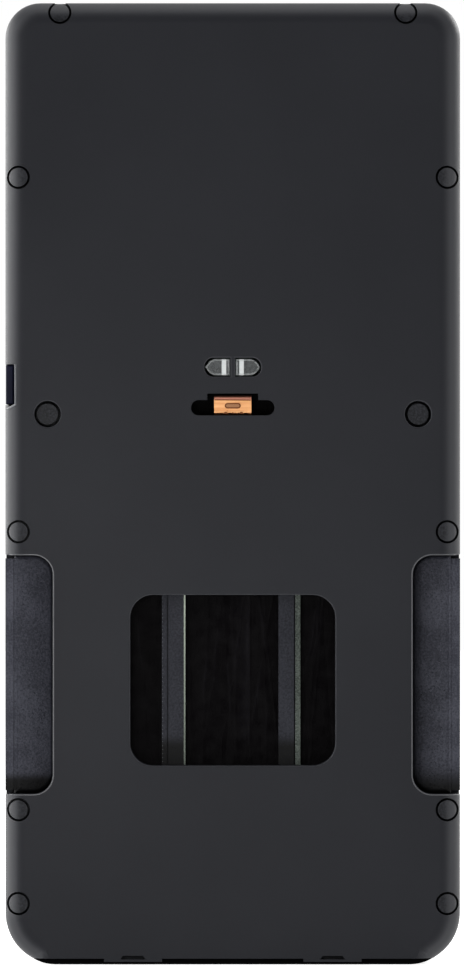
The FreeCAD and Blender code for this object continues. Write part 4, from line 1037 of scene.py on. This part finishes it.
@dataclass
class DetectorBay:
    """Guard bars, window foil and the detector behind the window."""

    # Film: place of the straight fold, height of the creases, mesh, share of the height in painted shade
    # without painted glints, bare margin, gap to the detector's window, number of creases, height about which
    # they turn, and the two waves that bend each crease.
    fold: float = 3.2 * MM
    rise: float = 0.2 * MM
    columns: int = 150
    rows: int = 120
    shaded_end: float = 0.1
    margin: float = 0.9 * MM
    film_gap: float = 0.02 * MM
    count: int = 60
    long_wave: float = 3.1 * MM
    short_wave: float = 1.3 * MM
    pivot: float = 49.5 * MM
    # Painted glints on the ridges of creases: least height of a crease that gets them, length of their bright
    # stretches and their width.
    least_ridge: float = 0.12
    glint: float = 4.3 * MM
    glint_wide: float = 0.13 * MM
    # Beads: radius, distance, bare end of a row, and place across and depth of each row.
    bead: float = 0.075 * MM
    pitch: float = 0.74 * MM
    inset: float = 0.6 * MM
    grooves: tuple = (("left", -12.95 * MM, 0.42 * MM), ("right", 11.68 * MM, -0.08 * MM))

    def finishes(self, low: float, high: float) -> tuple[Finish, Finish, Finish]:
        """Finishes of the bars, the strips and the foil between two heights.

        Args:
            low: Lower height.
            high: Upper height.

        Returns:
            Finishes of the bars, the strips and the foil.
        """
        # Glass-filled nylon bars, dark grey, a little paler than the case; painted shade turns them near
        # black at their lower ends.
        bars = ZonedFinish("moulded glass-filled nylon", "#17181d", "#2a2b31", 0.5, 0.4, 0.05, specular=0.08,
                           mottle=1.4, dark="#060607", low=low, high=high + 9 * MM, blur_mm=1.4)
        # Anodised aluminium strips let into the bars: thin bright lines; the left strip is painted paler as a
        # painted highlight, fading towards the lower end as painted shade.
        strips = SplitFinish("anodised aluminium strip", "#292d2a", "#434844", 0.5, 0.3, 0.02, metallic=1.0,
                             mottle=1.8, other="#72786f", shaded_below=low - 10 * MM, whole=high)
        # Aluminised film with a black coat: crinkled, brownish black, weak gloss on the creases, helped by
        # painted glints on their ridges.
        foil = CrinkledFilm("black-coated aluminised film", "#020102", "#0a090a", 0.4, 0.3, 0.05,
                            drift_mm=2.5, specular=0.012, mottle=0.8)
        return bars, strips, foil

    def away(self, x: float, z: float, crease: Crease) -> float:
        """Distance of a place (x, z) of the window from the wavy line of a crease.

        Args:
            x: Place across the window.
            z: Place up the window.
            crease: The crease.

        Returns:
            The distance.
        """
        wave = crease.wave * (math.sin(crease.phase + z / self.long_wave)
                              + math.sin(3 * crease.phase + z / self.short_wave))
        across = x * math.cos(crease.angle) + (z - self.pivot) * math.sin(crease.angle)
        return abs(across - crease.offset + wave)

    def crease_height(self, x: float, z: float, creases: list[Crease]) -> float:
        """Height of the foil over its plane, between 0 and 1, at a place (x, z) of the window.

        Args:
            x: Place across the window.
            z: Place up the window.
            creases: Every crease of the film.

        Returns:
            The height.
        """
        total = 0.45 * math.exp(-abs(x - self.fold) / (0.25 * MM)) - 0.2
        for crease in creases:
            total += crease.height * math.exp(-self.away(x, z, crease) / crease.width)
        return min(1.0, max(0.0, 0.35 + total))

    def glint_share(self, x: float, z: float, creases: list[Crease]) -> float:
        """Strength of the painted glint at a place: on the ridges of the creases and beside the fold, between
        0 and 1.

        Args:
            x: Place across the window.
            z: Place up the window.
            creases: Every crease of the film.

        Returns:
            The share.
        """
        best = 0.0
        for crease in creases:
            if crease.height > self.least_ridge:
                share = max(0.0, math.sin(2 * crease.phase + z / self.glint))
                near = math.exp(-self.away(x, z, crease) / self.glint_wide)
                best = max(best, crease.height * 1.3 * share * near)
        # Painted highlight along the left side of the fold.
        side = 0.0 if x > self.fold else 0.3
        return min(1.0, best + side * math.exp(-abs(x - self.fold + 0.3 * MM) / (1.4 * MM)))

    def foil(self, material: Material) -> None:
        """Makes the crinkled foil in front of the detector, with painted glints on its creases.

        Args:
            material: Finish of the film.
        """
        low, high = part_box("tube_mica")
        x0, x1 = low[0] + self.margin, high[0] - self.margin
        z0, z1 = low[2] + self.margin, high[2] - self.margin
        chance = random.Random(11)
        creases = [
            Crease(chance.gauss(0, 0.09), chance.uniform(-19, 19) * MM, chance.uniform(0.15, 0.7) * MM,
                   chance.uniform(-0.25, 0.3), chance.uniform(0, 6.3), chance.uniform(0.03, 0.14) * MM)
            for _ in range(self.count)
        ]
        points = []
        for row in range(self.rows + 1):
            z = z0 + (z1 - z0) * row / self.rows
            for column in range(self.columns + 1):
                x = x0 + (x1 - x0) * column / self.columns
                lift = self.rise * self.crease_height(x, z, creases)
                points.append((x, low[1] - self.film_gap - lift, z))
        wide = self.columns + 1
        faces = [
            (row * wide + column, row * wide + column + 1, (row + 1) * wide + column + 1,
             (row + 1) * wide + column)
            for row in range(self.rows) for column in range(self.columns)
        ]
        back = len(points)
        rim = ([column for column in range(wide)]
               + [row * wide + self.columns for row in range(1, self.rows + 1)]
               + [self.rows * wide + column for column in range(self.columns - 1, -1, -1)]
               + [row * wide for row in range(self.rows - 1, 0, -1)])
        points.extend((points[i][0], low[1] - self.film_gap / 2, points[i][2]) for i in rim)
        for i in range(len(rim)):
            j = (i + 1) % len(rim)
            faces.append((rim[j], rim[i], back + i, back + j))
        faces.append(tuple(back + i for i in reversed(range(len(rim)))))
        film = piece_from("window_film", points, faces, material)
        # Painted glints on the ridges, faded out towards the lower end as painted shade.
        crease = film.data.attributes.new("crease", "FLOAT", "POINT")
        end = z0 + (z1 - z0) * self.shaded_end
        for i, point in enumerate(points):
            glint_share = self.glint_share(point[0], point[2], creases)
            unshaded = min(1.0, max(0.0, (point[2] - end) / (2.5 * MM)))
            crease.data[i].value = glint_share * unshaded * chance.uniform(0.5, 1.0)
        settle(film, CASE)

    def beads(self, material: Material) -> None:
        """Sets rows of weld beads in the grooves of the guard bars.

        Args:
            material: Finish of the beads.
        """
        tree = bead_rows()
        frame_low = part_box("detector_frame")[0]
        strip_low, strip_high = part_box("guard_strips")
        count = int((strip_high[2] - strip_low[2]) / self.pitch)
        for name, x, deep in self.grooves:
            start = (x, frame_low[1] + deep, strip_low[2] + self.inset)
            end = (x, frame_low[1] + deep, strip_high[2] - self.inset)
            thing = tree.run(f"groove_beads_{name}", bpy.data.meshes.new("row"),
                             {"Count": count, "Start": start, "End": end, "Radius": self.bead,
                              "Material": material})
            settle(thing, CASE)

    def build(self) -> None:
        """Dresses the bay and adds the foil and the beads."""
        low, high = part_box("guard_strips")
        bars, strips, foil = self.finishes(low[2] + 4.6 * MM, high[2] - 2.4 * MM)
        bar_material = bars.build()
        film = foil.build()
        dress(bar_material, "detector_frame")
        dress(strips.build(), "guard_strips")
        dress(film, "tube_mica")
        dress_all({
            "tube_body tube_strap tube_anode": metal("deep-drawn stainless steel", "#8d8f91", "#a2a4a6", 0.35,
                                                     0.5, 0.01, True),
            "tube_foam": Finish("closed-cell foam", "#0b0b0b", "#141414", 0.9, 0.4, 0.1, specular=0.2),
            "tube_seal_glass": Finish("fired sealing glass", "#6c7a6c", "#819081", 0.25, 0.8, 0.01),
        })
        self.foil(film)
        self.beads(metal("weld bead, bare metal", "#5b5d60", "#77797c", 0.4, 0.3, 0.01).build())


@dataclass
class AccessoryCatch:
    """Sprung catch in the slot of the rear face."""

    # Folded edge, and the embossed pill: its middle below the top, half its length, radius, wall and height.
    fold_mm: float = 0.85
    pill_drop: float = 1.95 * MM
    pill_half: float = 1.48 * MM
    pill_radius: float = 0.52 * MM
    pill_wall: float = 0.24 * MM
    proud: float = 0.04 * MM
    # Lower edge, below the top.
    foot_drop: float = 3.45 * MM

    def emboss(self, material: Material) -> None:
        """Puts the raised rim of a long pill on the face of the catch.

        Args:
            material: Finish of the rim.
        """
        low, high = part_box("latch_leaf")
        middle = high[2] - self.pill_drop
        rings = []
        for radius in (self.pill_radius, self.pill_radius - self.pill_wall):
            reach = self.pill_half - self.pill_radius
            ring = []
            for side in (1, -1):
                for step in range(13):
                    angle = math.radians(-90 + 180 * step / 12)
                    ring.append((side * (reach + radius * math.cos(angle)),
                                 middle + side * radius * math.sin(angle)))
            rings.append(ring)
        outer, inner = rings
        shape = band(outer, inner, low[1] - self.proud, low[1] + self.proud)
        settle(piece_from("latch_emboss", *shape, material), "latch")
        floor = prism(inner, low[1] - self.proud / 3, low[1] + self.proud)
        dull = metal("stamped copper, dull", "#7d5a40", "#8f6a4e", 0.55, 0.3, 0.01).build()
        settle(piece_from("latch_emboss_floor", *floor, dull), "latch")

    def foot(self, material: Material) -> None:
        """Puts an uneven dark trace along the lower edge of the catch, and a dark line along its fold.

        Args:
            material: Finish of the trace.
        """
        low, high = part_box("latch_leaf")
        chance = random.Random(4)
        base = high[2] - self.foot_drop
        shapes = []
        x = low[0] + 0.15 * MM
        while x < high[0] - 0.7 * MM:
            wide = chance.uniform(0.3, 0.9) * MM
            tall = chance.uniform(0.12, 0.42) * MM
            shapes.append(prism([(x, base), (x + wide, base), (x + wide * 0.7, base + tall),
                                 (x + wide * 0.25, base + tall)], low[1] - self.proud / 2,
                                low[1] + self.proud))
            x += wide + chance.uniform(0.1, 0.8) * MM
        line = high[2] - self.fold_mm * MM
        shapes.append(prism([(low[0] + 0.1 * MM, line - 0.1 * MM), (high[0] - 0.1 * MM, line - 0.16 * MM),
                             (high[0] - 0.1 * MM, line), (low[0] + 0.1 * MM, line + 0.06 * MM)],
                            low[1] - self.proud / 2, low[1] + self.proud))
        settle(piece_from("latch_dark_marks", *merged(shapes), material), "latch")

    def build(self) -> None:
        """Dresses the catch and what holds it."""
        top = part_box("latch_leaf")[1][2]
        # Beryllium copper strip, rolled, cut and folded: pale orange, fine lines, a few dark specks.
        copper = CopperStrip("rolled beryllium copper", "#a9774e", "#c69669", 0.42, 0.35, 0.006, metallic=1.0,
                             texture=Texture.DRAWN, mottle=1.2, fold=top - self.fold_mm * MM).build()
        dress(copper, "latch_leaf", "latch_root")
        # The edge of the embossed pill, the lower edge and a line along the fold are coloured darker.
        darker_edge = metal("darker copper edge", "#4f2e1d", "#6b4029", 0.5, 0.3, 0.01).build()
        self.emboss(darker_edge)
        self.foot(darker_edge)
        dress_all({
            "latch_cap": Finish("moulded black nylon", "#020202", "#050506", 0.6, 0.4, 0.02, specular=0.03),
            "latch_rivets": metal("tin-plated brass rivet", "#b9b8b0", "#a3a29b", 0.35, 0.4, 0.01),
        })


@dataclass
class RearLenses:
    """Two clear lenses in the rear face, and the alarm lens in the front."""

    # Painted glint band: from and to, away from the middle plane.
    glint_from: float = 1.25 * MM
    glint_to: float = 2.0 * MM
    # Lens: gap to its pocket, chamfer, where the nose starts, dish of the face, half height, depth that it
    # leaves free, and how far the flat end and the tip stay inside the CAD's lens.
    play: float = 0.03 * MM
    chamfer: float = 0.22 * MM
    shoulder: float = 3.35 * MM
    dish: float = 0.12 * MM
    half: float = 1.525 * MM
    free: float = 1.0 * MM
    flat_in: float = 0.4 * MM
    tip_in: float = 0.5 * MM

    def bullet(self, low: Vector, high: Vector, side: int, inset: float) -> list[tuple[float, float]]:
        """Outline of a lens: a flat end, two flanks and a pointed nose with a small radius.

        Args:
            low: Lower corner of the lens.
            high: Upper corner of the lens.
            side: -1 for the left lens, 1 for the right one.
            inset: How far the outline lies inside the pocket.

        Returns:
            Points (x, z).
        """
        flat = min(abs(low[0]), abs(high[0])) + self.flat_in + inset
        tip = max(abs(low[0]), abs(high[0])) - self.tip_in - inset
        middle = (low[2] + high[2]) / 2
        half = self.half - inset
        corners = [(flat, middle - half), (self.shoulder, middle - half)]
        for step in range(1, 10):
            share = step / 10
            bend = math.sin(share * math.pi) * 0.16 * half
            corners.append((self.shoulder + (tip - self.shoulder) * share + bend * 0.7,
                            middle - half * (1 - share) - bend))
        corners.append((tip, middle - 0.12 * half))
        corners.append((tip, middle + 0.12 * half))
        corners.extend((x, 2 * middle - z) for x, z in reversed(corners[:-2]))
        return [(side * x, z) for x, z in corners]

    def lens(self, name: str, side: int, material: Material, rim: Material) -> None:
        """Makes one rear lens with a polished, chamfered rim and a dished face, both painted pale as a
        painted highlight.

        Args:
            name: Node that the lens stands in for.
            side: -1 for the left lens, 1 for the right one.
            material: Finish of the lens.
            rim: Pale finish of the chamfer and the dish, a painted highlight.
        """
        low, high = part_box(name)
        deep = high[1] - self.free
        face = low[1]
        rings = [(self.play, deep), (self.play, face + self.chamfer), (self.play + self.chamfer, face),
                 (self.play + self.chamfer * 1.5, face + self.dish)]
        shape = loft([[(x, y, z) for x, z in self.bullet(low, high, side, inset)] for inset, y in rings])
        thing = piece_from(f"{name}_pipe", *shape, material)
        # The chamfer and the dish are the second and the third row of faces, after the first cap.
        count = len(shape[0]) // len(rings)
        thing.data.materials.append(rim)
        for polygon in thing.data.polygons[1 + count:1 + 3 * count]:
            polygon.material_index = 1
        settle(thing, CASE)
        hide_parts(name)

    def build(self) -> None:
        """Makes and dresses the lenses and the lamps behind them."""
        # Polycarbonate light pipes: glossy, smoky grey inside, a bright band painted near the flat end as a
        # painted glint.
        rear = ClearMoulding("moulded polycarbonate, painted glint band", "#5b5f60", "#e0e4e4", self.glint_from,
                             self.glint_to, clear=0.3)
        material = rear.build()
        dress(material, "rear_lens_left", "rear_lens_right")
        # The cut rim is flame polished and gathers light: the pale line round the lens is painted on it as a
        # painted highlight.
        rim = replace(rear, name="polycarbonate rim, painted highlight", colour="#c3c8c8").build()
        self.lens("rear_lens_left", -1, material, rim)
        self.lens("rear_lens_right", 1, material, rim)
        front = ClearMoulding("moulded red polycarbonate", "#a81712", "#c32019", 0.0, 1.0, clear=0.25)
        dress(front.build(), "alarm_lens")
        dress_all({"board_lamps": Finish("white ceramic lamp package", "#d8d7cf", "#e6e5dd", 0.5, 0.4, 0.01)})


@dataclass
class SidePort:
    """Rubber flap in the left side and the socket behind it."""

    # Bead: radius, its line away from the middle plane, how far its lower run reaches out and drops, and
    # how far its upright run passes the flap at both ends.
    bead: float = 0.19 * MM
    inner: float = 40.08 * MM
    reach: float = 1.55 * MM
    drop: float = 0.8 * MM
    past: float = 0.1 * MM

    def edge(self, material: Material) -> None:
        """Lays a fine rounded bead in a paler finish, a painted highlight, along the inner and the lower edge
        of the recess.

        Args:
            material: Finish of the bead.
        """
        low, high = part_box("port_flap")
        path = []
        for step in range(9):
            z = high[2] + self.past - (high[2] - low[2] + 2 * self.past) * step / 8
            path.append(Vector((-self.inner, rear_skin(self.inner), z)))
        start = path[-1]
        for step in range(1, 13):
            x = start.x - self.reach * step / 12
            path.append(Vector((x, rear_skin(-x), start.z - self.drop * step / 12)))
        settle(piece_from("port_edge", *tube(path, self.bead), material), CASE)

    def build(self) -> None:
        """Dresses the flap and the socket."""
        # Silicone rubber, blue black, smooth: a dull sheen along its edges.
        rubber = Finish("moulded silicone, blue black", "#090b1a", "#12152a", 0.6, 0.5, 0.03, specular=0.1)
        dress(rubber.build(), "port_flap", "flap_anchor")
        # The edge of the recess is polished by the mould and by fingernails, and shines; the bead's paler
        # colour paints that highlight.
        self.edge(PaintedSheenPlastic("ABS port bead, painted highlight", "#34353a", "#3d3e43", 0.3, 0.5, 0.004, specular=0.6,
                                 edge_specular=0.8, edge_roughness=0.3, painted_sheen_colour="#54565a").build())
        dress(metal("tin-plated steel shell", "#a7a9ab", "#bdbfc1", 0.3, 0.4, 0.008, True).build(),
              "usb_socket")


@dataclass
class ControlFace:
    """Display, keys and speaker of the front face.

    Attributes:
        digits: Number that the display shows.
    """

    digits: str = "0.12"
    digit_high: float = 15 * MM
    digit_wide: float = 8 * MM
    digit_gap: float = 2 * MM
    digit_drop: float = 2 * MM
    stroke: float = 1.5 * MM
    gap: float = 0.25 * MM
    # The printed layer on the glass: where it starts and ends above it.
    layer: tuple[float, float] = (0.01 * MM, 0.05 * MM)
    # Scale of bars: how many, how many are lit, distance, width, two heights, left end and height of the row.
    bars: int = 20
    lit: int = 7
    bar_pitch: float = 2 * MM
    bar_wide: float = 1.2 * MM
    bar_tall: tuple[float, float] = (3.2 * MM, 1.0 * MM)
    bar_start: float = -19 * MM
    bar_base: float = 6 * MM
    # Symbols on the keys: height, half size of an arrow, line width, radii of the rings, and the stroke of
    # the power symbol as half its width, its lower and its upper end.
    symbol_high: float = 0.05 * MM
    arrow: float = 1.5 * MM
    line: float = 0.45 * MM
    mode_radius: float = 1.5 * MM
    power_radius: float = 1.9 * MM
    power_stroke: tuple[float, float, float] = (0.22 * MM, 0.3 * MM, 2.2 * MM)

    def segments(self, char: str, x: float, z: float) -> list[Shape]:
        """Bars of one seven-segment digit.

        Args:
            char: 0, 1, 2 or a full stop.
            x: Left edge.
            z: Lower edge.

        Returns:
            Points and faces of each bar.
        """
        y0, y1 = (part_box("display_glass")[1][1] + layer for layer in self.layer)
        wide, tall, thick, gap = self.digit_wide, self.digit_high, self.stroke, self.gap
        if char == ".":
            return [block(x, z, x + thick, z + thick, y0, y1)]
        half = tall / 2
        bars = {
            "a": (x + thick, z + tall - thick, x + wide - thick, z + tall),
            "b": (x + wide - thick, z + half, x + wide, z + tall - thick),
            "c": (x + wide - thick, z + thick, x + wide, z + half),
            "d": (x + thick, z, x + wide - thick, z + thick),
            "e": (x, z + thick, x + thick, z + half),
            "f": (x, z + half, x + thick, z + tall - thick),
            "g": (x + thick, z + half - thick / 2, x + wide - thick, z + half + thick / 2),
        }
        lit = {"0": "abcdef", "1": "bc", "2": "abged"}
        shapes = []
        for key in lit[char]:
            left, base, right, head = bars[key]
            shapes.append(block(left + gap, base + gap, right - gap, head - gap, y0, y1))
        return shapes

    def reading(self, material: Material) -> None:
        """Puts the number and a scale of bars on the display glass, to be read from the front.

        Args:
            material: Finish of the segments.
        """
        low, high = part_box("display_glass")
        steps = [self.stroke * 2 if c == "." else self.digit_wide + self.digit_gap for c in self.digits]
        place = -sum(steps) / 2
        shapes = []
        base = (low[2] + high[2]) / 2 - self.digit_drop
        for char, step in zip(self.digits, steps):
            shapes.extend(self.segments(char, place, base))
            place += step
        y0, y1 = (high[1] + layer for layer in self.layer)
        for step in range(self.bars):
            x = self.bar_start + step * self.bar_pitch
            z = low[2] + self.bar_base
            tall = self.bar_tall[0] if step < self.lit else self.bar_tall[1]
            shapes.append(block(x, z, x + self.bar_wide, z + tall, y0, y1))
        points, faces = merged(shapes)
        points = [(-x, y, z) for x, y, z in points]
        settle(piece_from("display_reading", points, faces, material), CASE)

    def ring(self, x: float, z: float, radius: float, start: float, turn: float, y0: float,
             y1: float) -> Shape:
        """Part of a flat ring, or a whole one when it turns by 360 degrees.

        Args:
            x: Middle across.
            z: Middle up.
            radius: Outer radius.
            start: Angle where it starts, in degrees.
            turn: Angle that it spans.
            y0: Lower end.
            y1: Upper end.

        Returns:
            Points and faces.
        """
        steps = 28
        closed = turn == 360
        angles = [math.radians(start + turn * i / steps) for i in range(steps if closed else steps + 1)]
        outer, inner = ([(x + r * math.cos(a), z + r * math.sin(a)) for a in angles]
                        for r in (radius, radius - self.line))
        return band(outer, inner, y0, y1, closed)

    def symbols(self, material: Material) -> None:
        """Prints a plain symbol on every key.

        Args:
            material: Finish of the print.
        """
        for name in ("key_left", "key_mode", "key_right", "key_power"):
            low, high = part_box(name)
            x, z = (low[0] + high[0]) / 2, (low[2] + high[2]) / 2
            y0, y1 = high[1] - self.layer[0], high[1] + self.symbol_high
            if name == "key_power":
                half, base, head = self.power_stroke
                shape = merged([self.ring(x, z, self.power_radius, 120, 300, y0, y1),
                                block(x - half, z + base, x + half, z + head, y0, y1)])
            elif name == "key_mode":
                shape = self.ring(x, z, self.mode_radius, 0, 360, y0, y1)
            else:
                size, way = self.arrow, 1 if name == "key_right" else -1
                shape = prism([(x - way * size / 2, z - size), (x + way * size, z),
                               (x - way * size / 2, z + size)], y0, y1)
            settle(piece_from(f"{name}_symbol", *shape, material), name)

    def build(self) -> None:
        """Dresses the front face and adds the reading and the symbols."""
        low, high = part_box("display_pane")
        border = 4.2 * MM
        pane = PrintedPane("cast acrylic pane, printed border",
                           ((low[0] + high[0]) / 2, (low[2] + high[2]) / 2),
                           ((high[0] - low[0]) / 2 - border, (high[2] - low[2]) / 2 - border))
        dress(pane.build(), "display_pane")
        # Silicone keys, grey, with a matt skin; the power key is a muted red.
        key = Finish("moulded silicone key, grey", "#54565b", "#5e6065", 0.6, 0.4, 0.02, specular=0.35)
        # Polyester screen over the speaker: a plain weave of black threads, 0.5 mm apart.
        dress_all({
            "display_glass": Finish("reflective liquid-crystal glass", "#8f9a86", "#99a48f", 0.3, 1.2, 0.004),
            "display_frame": metal("pressed tin-plate frame", "#8c8e90", "#a0a2a4", 0.35, 0.4, 0.01, True),
            "display_flex": Finish("polyimide ribbon", "#8f5a1c", "#a56a24", 0.35, 0.6, 0.01),
            "key_left key_mode key_right": key,
            "key_power": replace(key, name="moulded silicone key, red", colour="#8e2b20", drift="#9b3427"),
            "speaker": Finish("moulded paper-pulp cone", "#151515", "#202020", 0.8, 0.5, 0.05),
            "speaker_cloth": Finish("woven polyester screen", "#0c0c0d", "#222224", 0.8, 0.5, 0.1,
                                    texture=Texture.WOVEN),
            "speaker_ring display_pad": Finish("die-cut foam", "#101010", "#1a1a1a", 0.9, 0.4, 0.1,
                                               specular=0.2),
        })
        self.reading(Finish("liquid-crystal segment", "#1c211c", "#262b26", 0.4, 0.5, 0.004).build())
        self.symbols(Finish("pad-printed ink, pale grey", "#c9cacb", "#d6d7d8", 0.55, 0.3, 0.01).build())


@dataclass
class Interior:
    """Board, cells and fasteners inside the case."""

    def build(self) -> None:
        """Dresses what lies inside."""
        dress_all({
            "main_board": Finish("lacquered glass-fibre board", "#0f3b22", "#15482b", 0.35, 0.7, 0.01,
                                 drift_mm=5),
            "board_chips high_voltage_block clock_cell_holder key_switches key_left_plunger "
            "key_mode_plunger key_right_plunger key_power_plunger":
                Finish("moulded epoxy", "#141415", "#1f1f21", 0.55, 0.3, 0.01),
            "shield_can clock_cell tray_contacts tray_springs door_contacts door_springs":
                metal("nickel-plated steel", "#a8a69f", "#bbb9b1", 0.3, 0.4, 0.01, True),
            "case_screws frame_screws board_screws":
                metal("zinc-plated steel screw", "#9b9da0", "#aeb0b3", 0.35, 0.3, 0.01),
            "anode_clip": metal("turned brass", "#c9a45a", "#d6b36c", 0.28, 0.3, 0.008, True),
            "cells": Finish("printed cell jacket", "#3d454d", "#48515a", 0.35, 0.6, 0.01, drift_mm=9),
            "cell_tray": Finish("moulded black nylon tray", "#101011", "#19191b", 0.6, 0.4, 0.03),
        })


# --- Studio
@dataclass(frozen=True)
class Lamp:
    """Square soft lamp that looks at a point.

    Attributes:
        name: Name of the lamp.
        place: Where it hangs.
        aim: Point that it looks at.
        size: Width of its face.
        tall: Height of its face.
        watts: Power.
    """

    name: str
    place: tuple[float, float, float]
    aim: tuple[float, float, float]
    size: float
    tall: float
    watts: float

    def hang(self) -> None:
        """Makes the lamp."""
        data = bpy.data.lights.new(self.name, "AREA")
        data.shape = "RECTANGLE"
        data.size = self.size
        data.size_y = self.tall
        data.energy = self.watts
        lamp = bpy.data.objects.new(self.name, data)
        lamp.location = self.place
        lamp.rotation_euler = (Vector(self.aim) - Vector(self.place)).to_track_quat("-Z", "Y").to_euler()
        lamp.visible_camera = False
        bpy.context.scene.collection.objects.link(lamp)


@dataclass
class Studio:
    """Floor, world, lamps and camera.

    Attributes:
        shown_high: Height that the camera shows at the object.
        centre: Point that the camera looks at.
        distance: Camera to the object.
        sensor: Height of the camera's sensor, in millimetres.
        ambient: Level of the light from all round.
        room: Level of the dim room that glossy things show on the camera's side.
        reach: Half the width of the floor.
        fibre: Size of the fibres of the floor's paper.
        paper_glow: Light that the floor sends straight to the eye, which keeps it white.
    """

    shown_high: float = 178.9 * MM
    centre: tuple[float, float, float] = (-0.14 * MM, -0.010, 88.71 * MM)
    distance: float = 1.6
    sensor: float = 24.0
    ambient: float = 0.42
    room: float = 0.3
    reach: float = 3.0
    fibre: float = MM / 0.9
    paper_glow: float = 0.8
    lamps: tuple[Lamp, ...] = (
        Lamp("close lamp", (-0.04, -0.23, 0.062), (-0.01, 0, 0.062), 0.06, 0.06, 0.14),
        Lamp("key from the left", (-0.8, -0.9, 0.55), (0, 0, 0.09), 0.5, 0.5, 5.0),
        Lamp("fill from the right", (0.8, -0.9, 0.35), (0, 0, 0.09), 0.5, 0.5, 3.0),
        Lamp("left side box", (-0.75, 0.1, 0.09), (-0.04, 0, 0.09), 0.5, 1.0, 7.0),
        Lamp("right side box", (0.75, 0.1, 0.09), (0.04, 0, 0.09), 0.4, 0.8, 0.6),
        Lamp("top box", (0.0, 0.05, 0.8), (0, 0, 0.17), 0.6, 0.4, 1.2),
        Lamp("display key", (0.8, 0.9, 0.55), (0, 0, 0.09), 0.5, 0.5, 7.0),
        Lamp("display fill", (-0.8, 0.9, 0.3), (0, 0, 0.09), 0.5, 0.5, 4.0),
    )

    def seen_directly(self, tree: Tree) -> Socket:
        """1 for rays that show the background: camera, glossy and transmission rays.

        Args:
            tree: Node tree of a world or a material.

        Returns:
            1 or 0.
        """
        path = add_node(tree, "ShaderNodeLightPath")
        either = math_node(tree, "MAXIMUM", path.outputs["Is Camera Ray"], path.outputs["Is Glossy Ray"])
        return math_node(tree, "MAXIMUM", either, path.outputs["Is Transmission Ray"])

    def world(self) -> None:
        """White to look at, and a level grey light for the rest."""
        world = bpy.data.worlds.new("studio")
        bpy.context.scene.world = world
        world.use_nodes = True
        tree = world.node_tree
        direction = along(tree, add_node(tree, "ShaderNodeTexCoord").outputs["Generated"], "Y")
        behind = ranged(tree, direction, -0.1, 0.6, low=self.room, kind="SMOOTHSTEP")
        path = add_node(tree, "ShaderNodeLightPath")
        shown = add_node(tree, "ShaderNodeMix", {3: 1.0}, {0: path.outputs["Is Camera Ray"], 2: behind})
        strength = add_node(tree, "ShaderNodeMix", {2: self.ambient}, {0: self.seen_directly(tree),
                                                                      3: shown.outputs[0]})
        tree.nodes["Background"].inputs["Color"].default_value = (1, 1, 1, 1)
        tree.links.new(strength.outputs[0], tree.nodes["Background"].inputs["Strength"])

    def floor(self) -> None:
        """Pale matt floor that keeps the object's shadow."""
        material = bpy.data.materials.new("matt white paper")
        material.use_nodes = True
        tree = material.node_tree
        tree.nodes.clear()
        place = add_node(tree, "ShaderNodeTexCoord").outputs["Object"]
        fibre = noise_of(tree, place, self.fibre, detail=3.0)
        tone = add_node(tree, "ShaderNodeMix", {6: (0.80, 0.80, 0.80, 1), 7: (0.84, 0.84, 0.84, 1)},
                        {0: fibre}, data_type="RGBA")
        paper = add_node(tree, "ShaderNodeBsdfDiffuse", None, {"Color": tone.outputs[2]})
        level = math_node(tree, "MULTIPLY", self.seen_directly(tree), self.paper_glow)
        glow = add_node(tree, "ShaderNodeEmission", None, {"Strength": level})
        both = add_node(tree, "ShaderNodeAddShader", None, {0: paper.outputs[0], 1: glow.outputs[0]})
        add_node(tree, "ShaderNodeOutputMaterial", None, {0: both.outputs[0]})
        reach = self.reach
        corners = [(-reach, -reach, 0), (reach, -reach, 0), (reach, reach, 0), (-reach, reach, 0)]
        piece_from("floor", corners, [(0, 1, 2, 3)], material)

    def camera(self) -> None:
        """Long lens, level, square on to the rear face."""
        data = bpy.data.cameras.new("camera")
        data.sensor_fit = "VERTICAL"
        data.sensor_height = self.sensor
        data.lens = self.sensor * self.distance / self.shown_high
        data.clip_start = 0.05
        data.clip_end = 20
        camera = bpy.data.objects.new("camera", data)
        camera.location = Vector(self.centre) - Vector((0, self.distance, 0))
        camera.rotation_euler = (math.pi / 2, 0, 0)
        bpy.context.scene.collection.objects.link(camera)
        bpy.context.scene.camera = camera

    def build(self) -> None:
        """Sets the whole studio up."""
        self.world()
        self.floor()
        for lamp in self.lamps:
            lamp.hang()
        self.camera()
        bpy.context.scene.view_settings.view_transform = "Standard"


def main() -> None:
    """Builds every sub-assembly, then the studio."""
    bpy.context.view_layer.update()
    for part in (CaseShells(), GripPads(), DetectorBay(), AccessoryCatch(), RearLenses(), SidePort(),
                 ControlFace(), Interior(), Studio()):
        part.build()
        log.info("finished %s", type(part).__name__)


if __name__ == "__main__":
    logging.basicConfig(level=logging.INFO, format="%(message)s")
    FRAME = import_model()
    main()
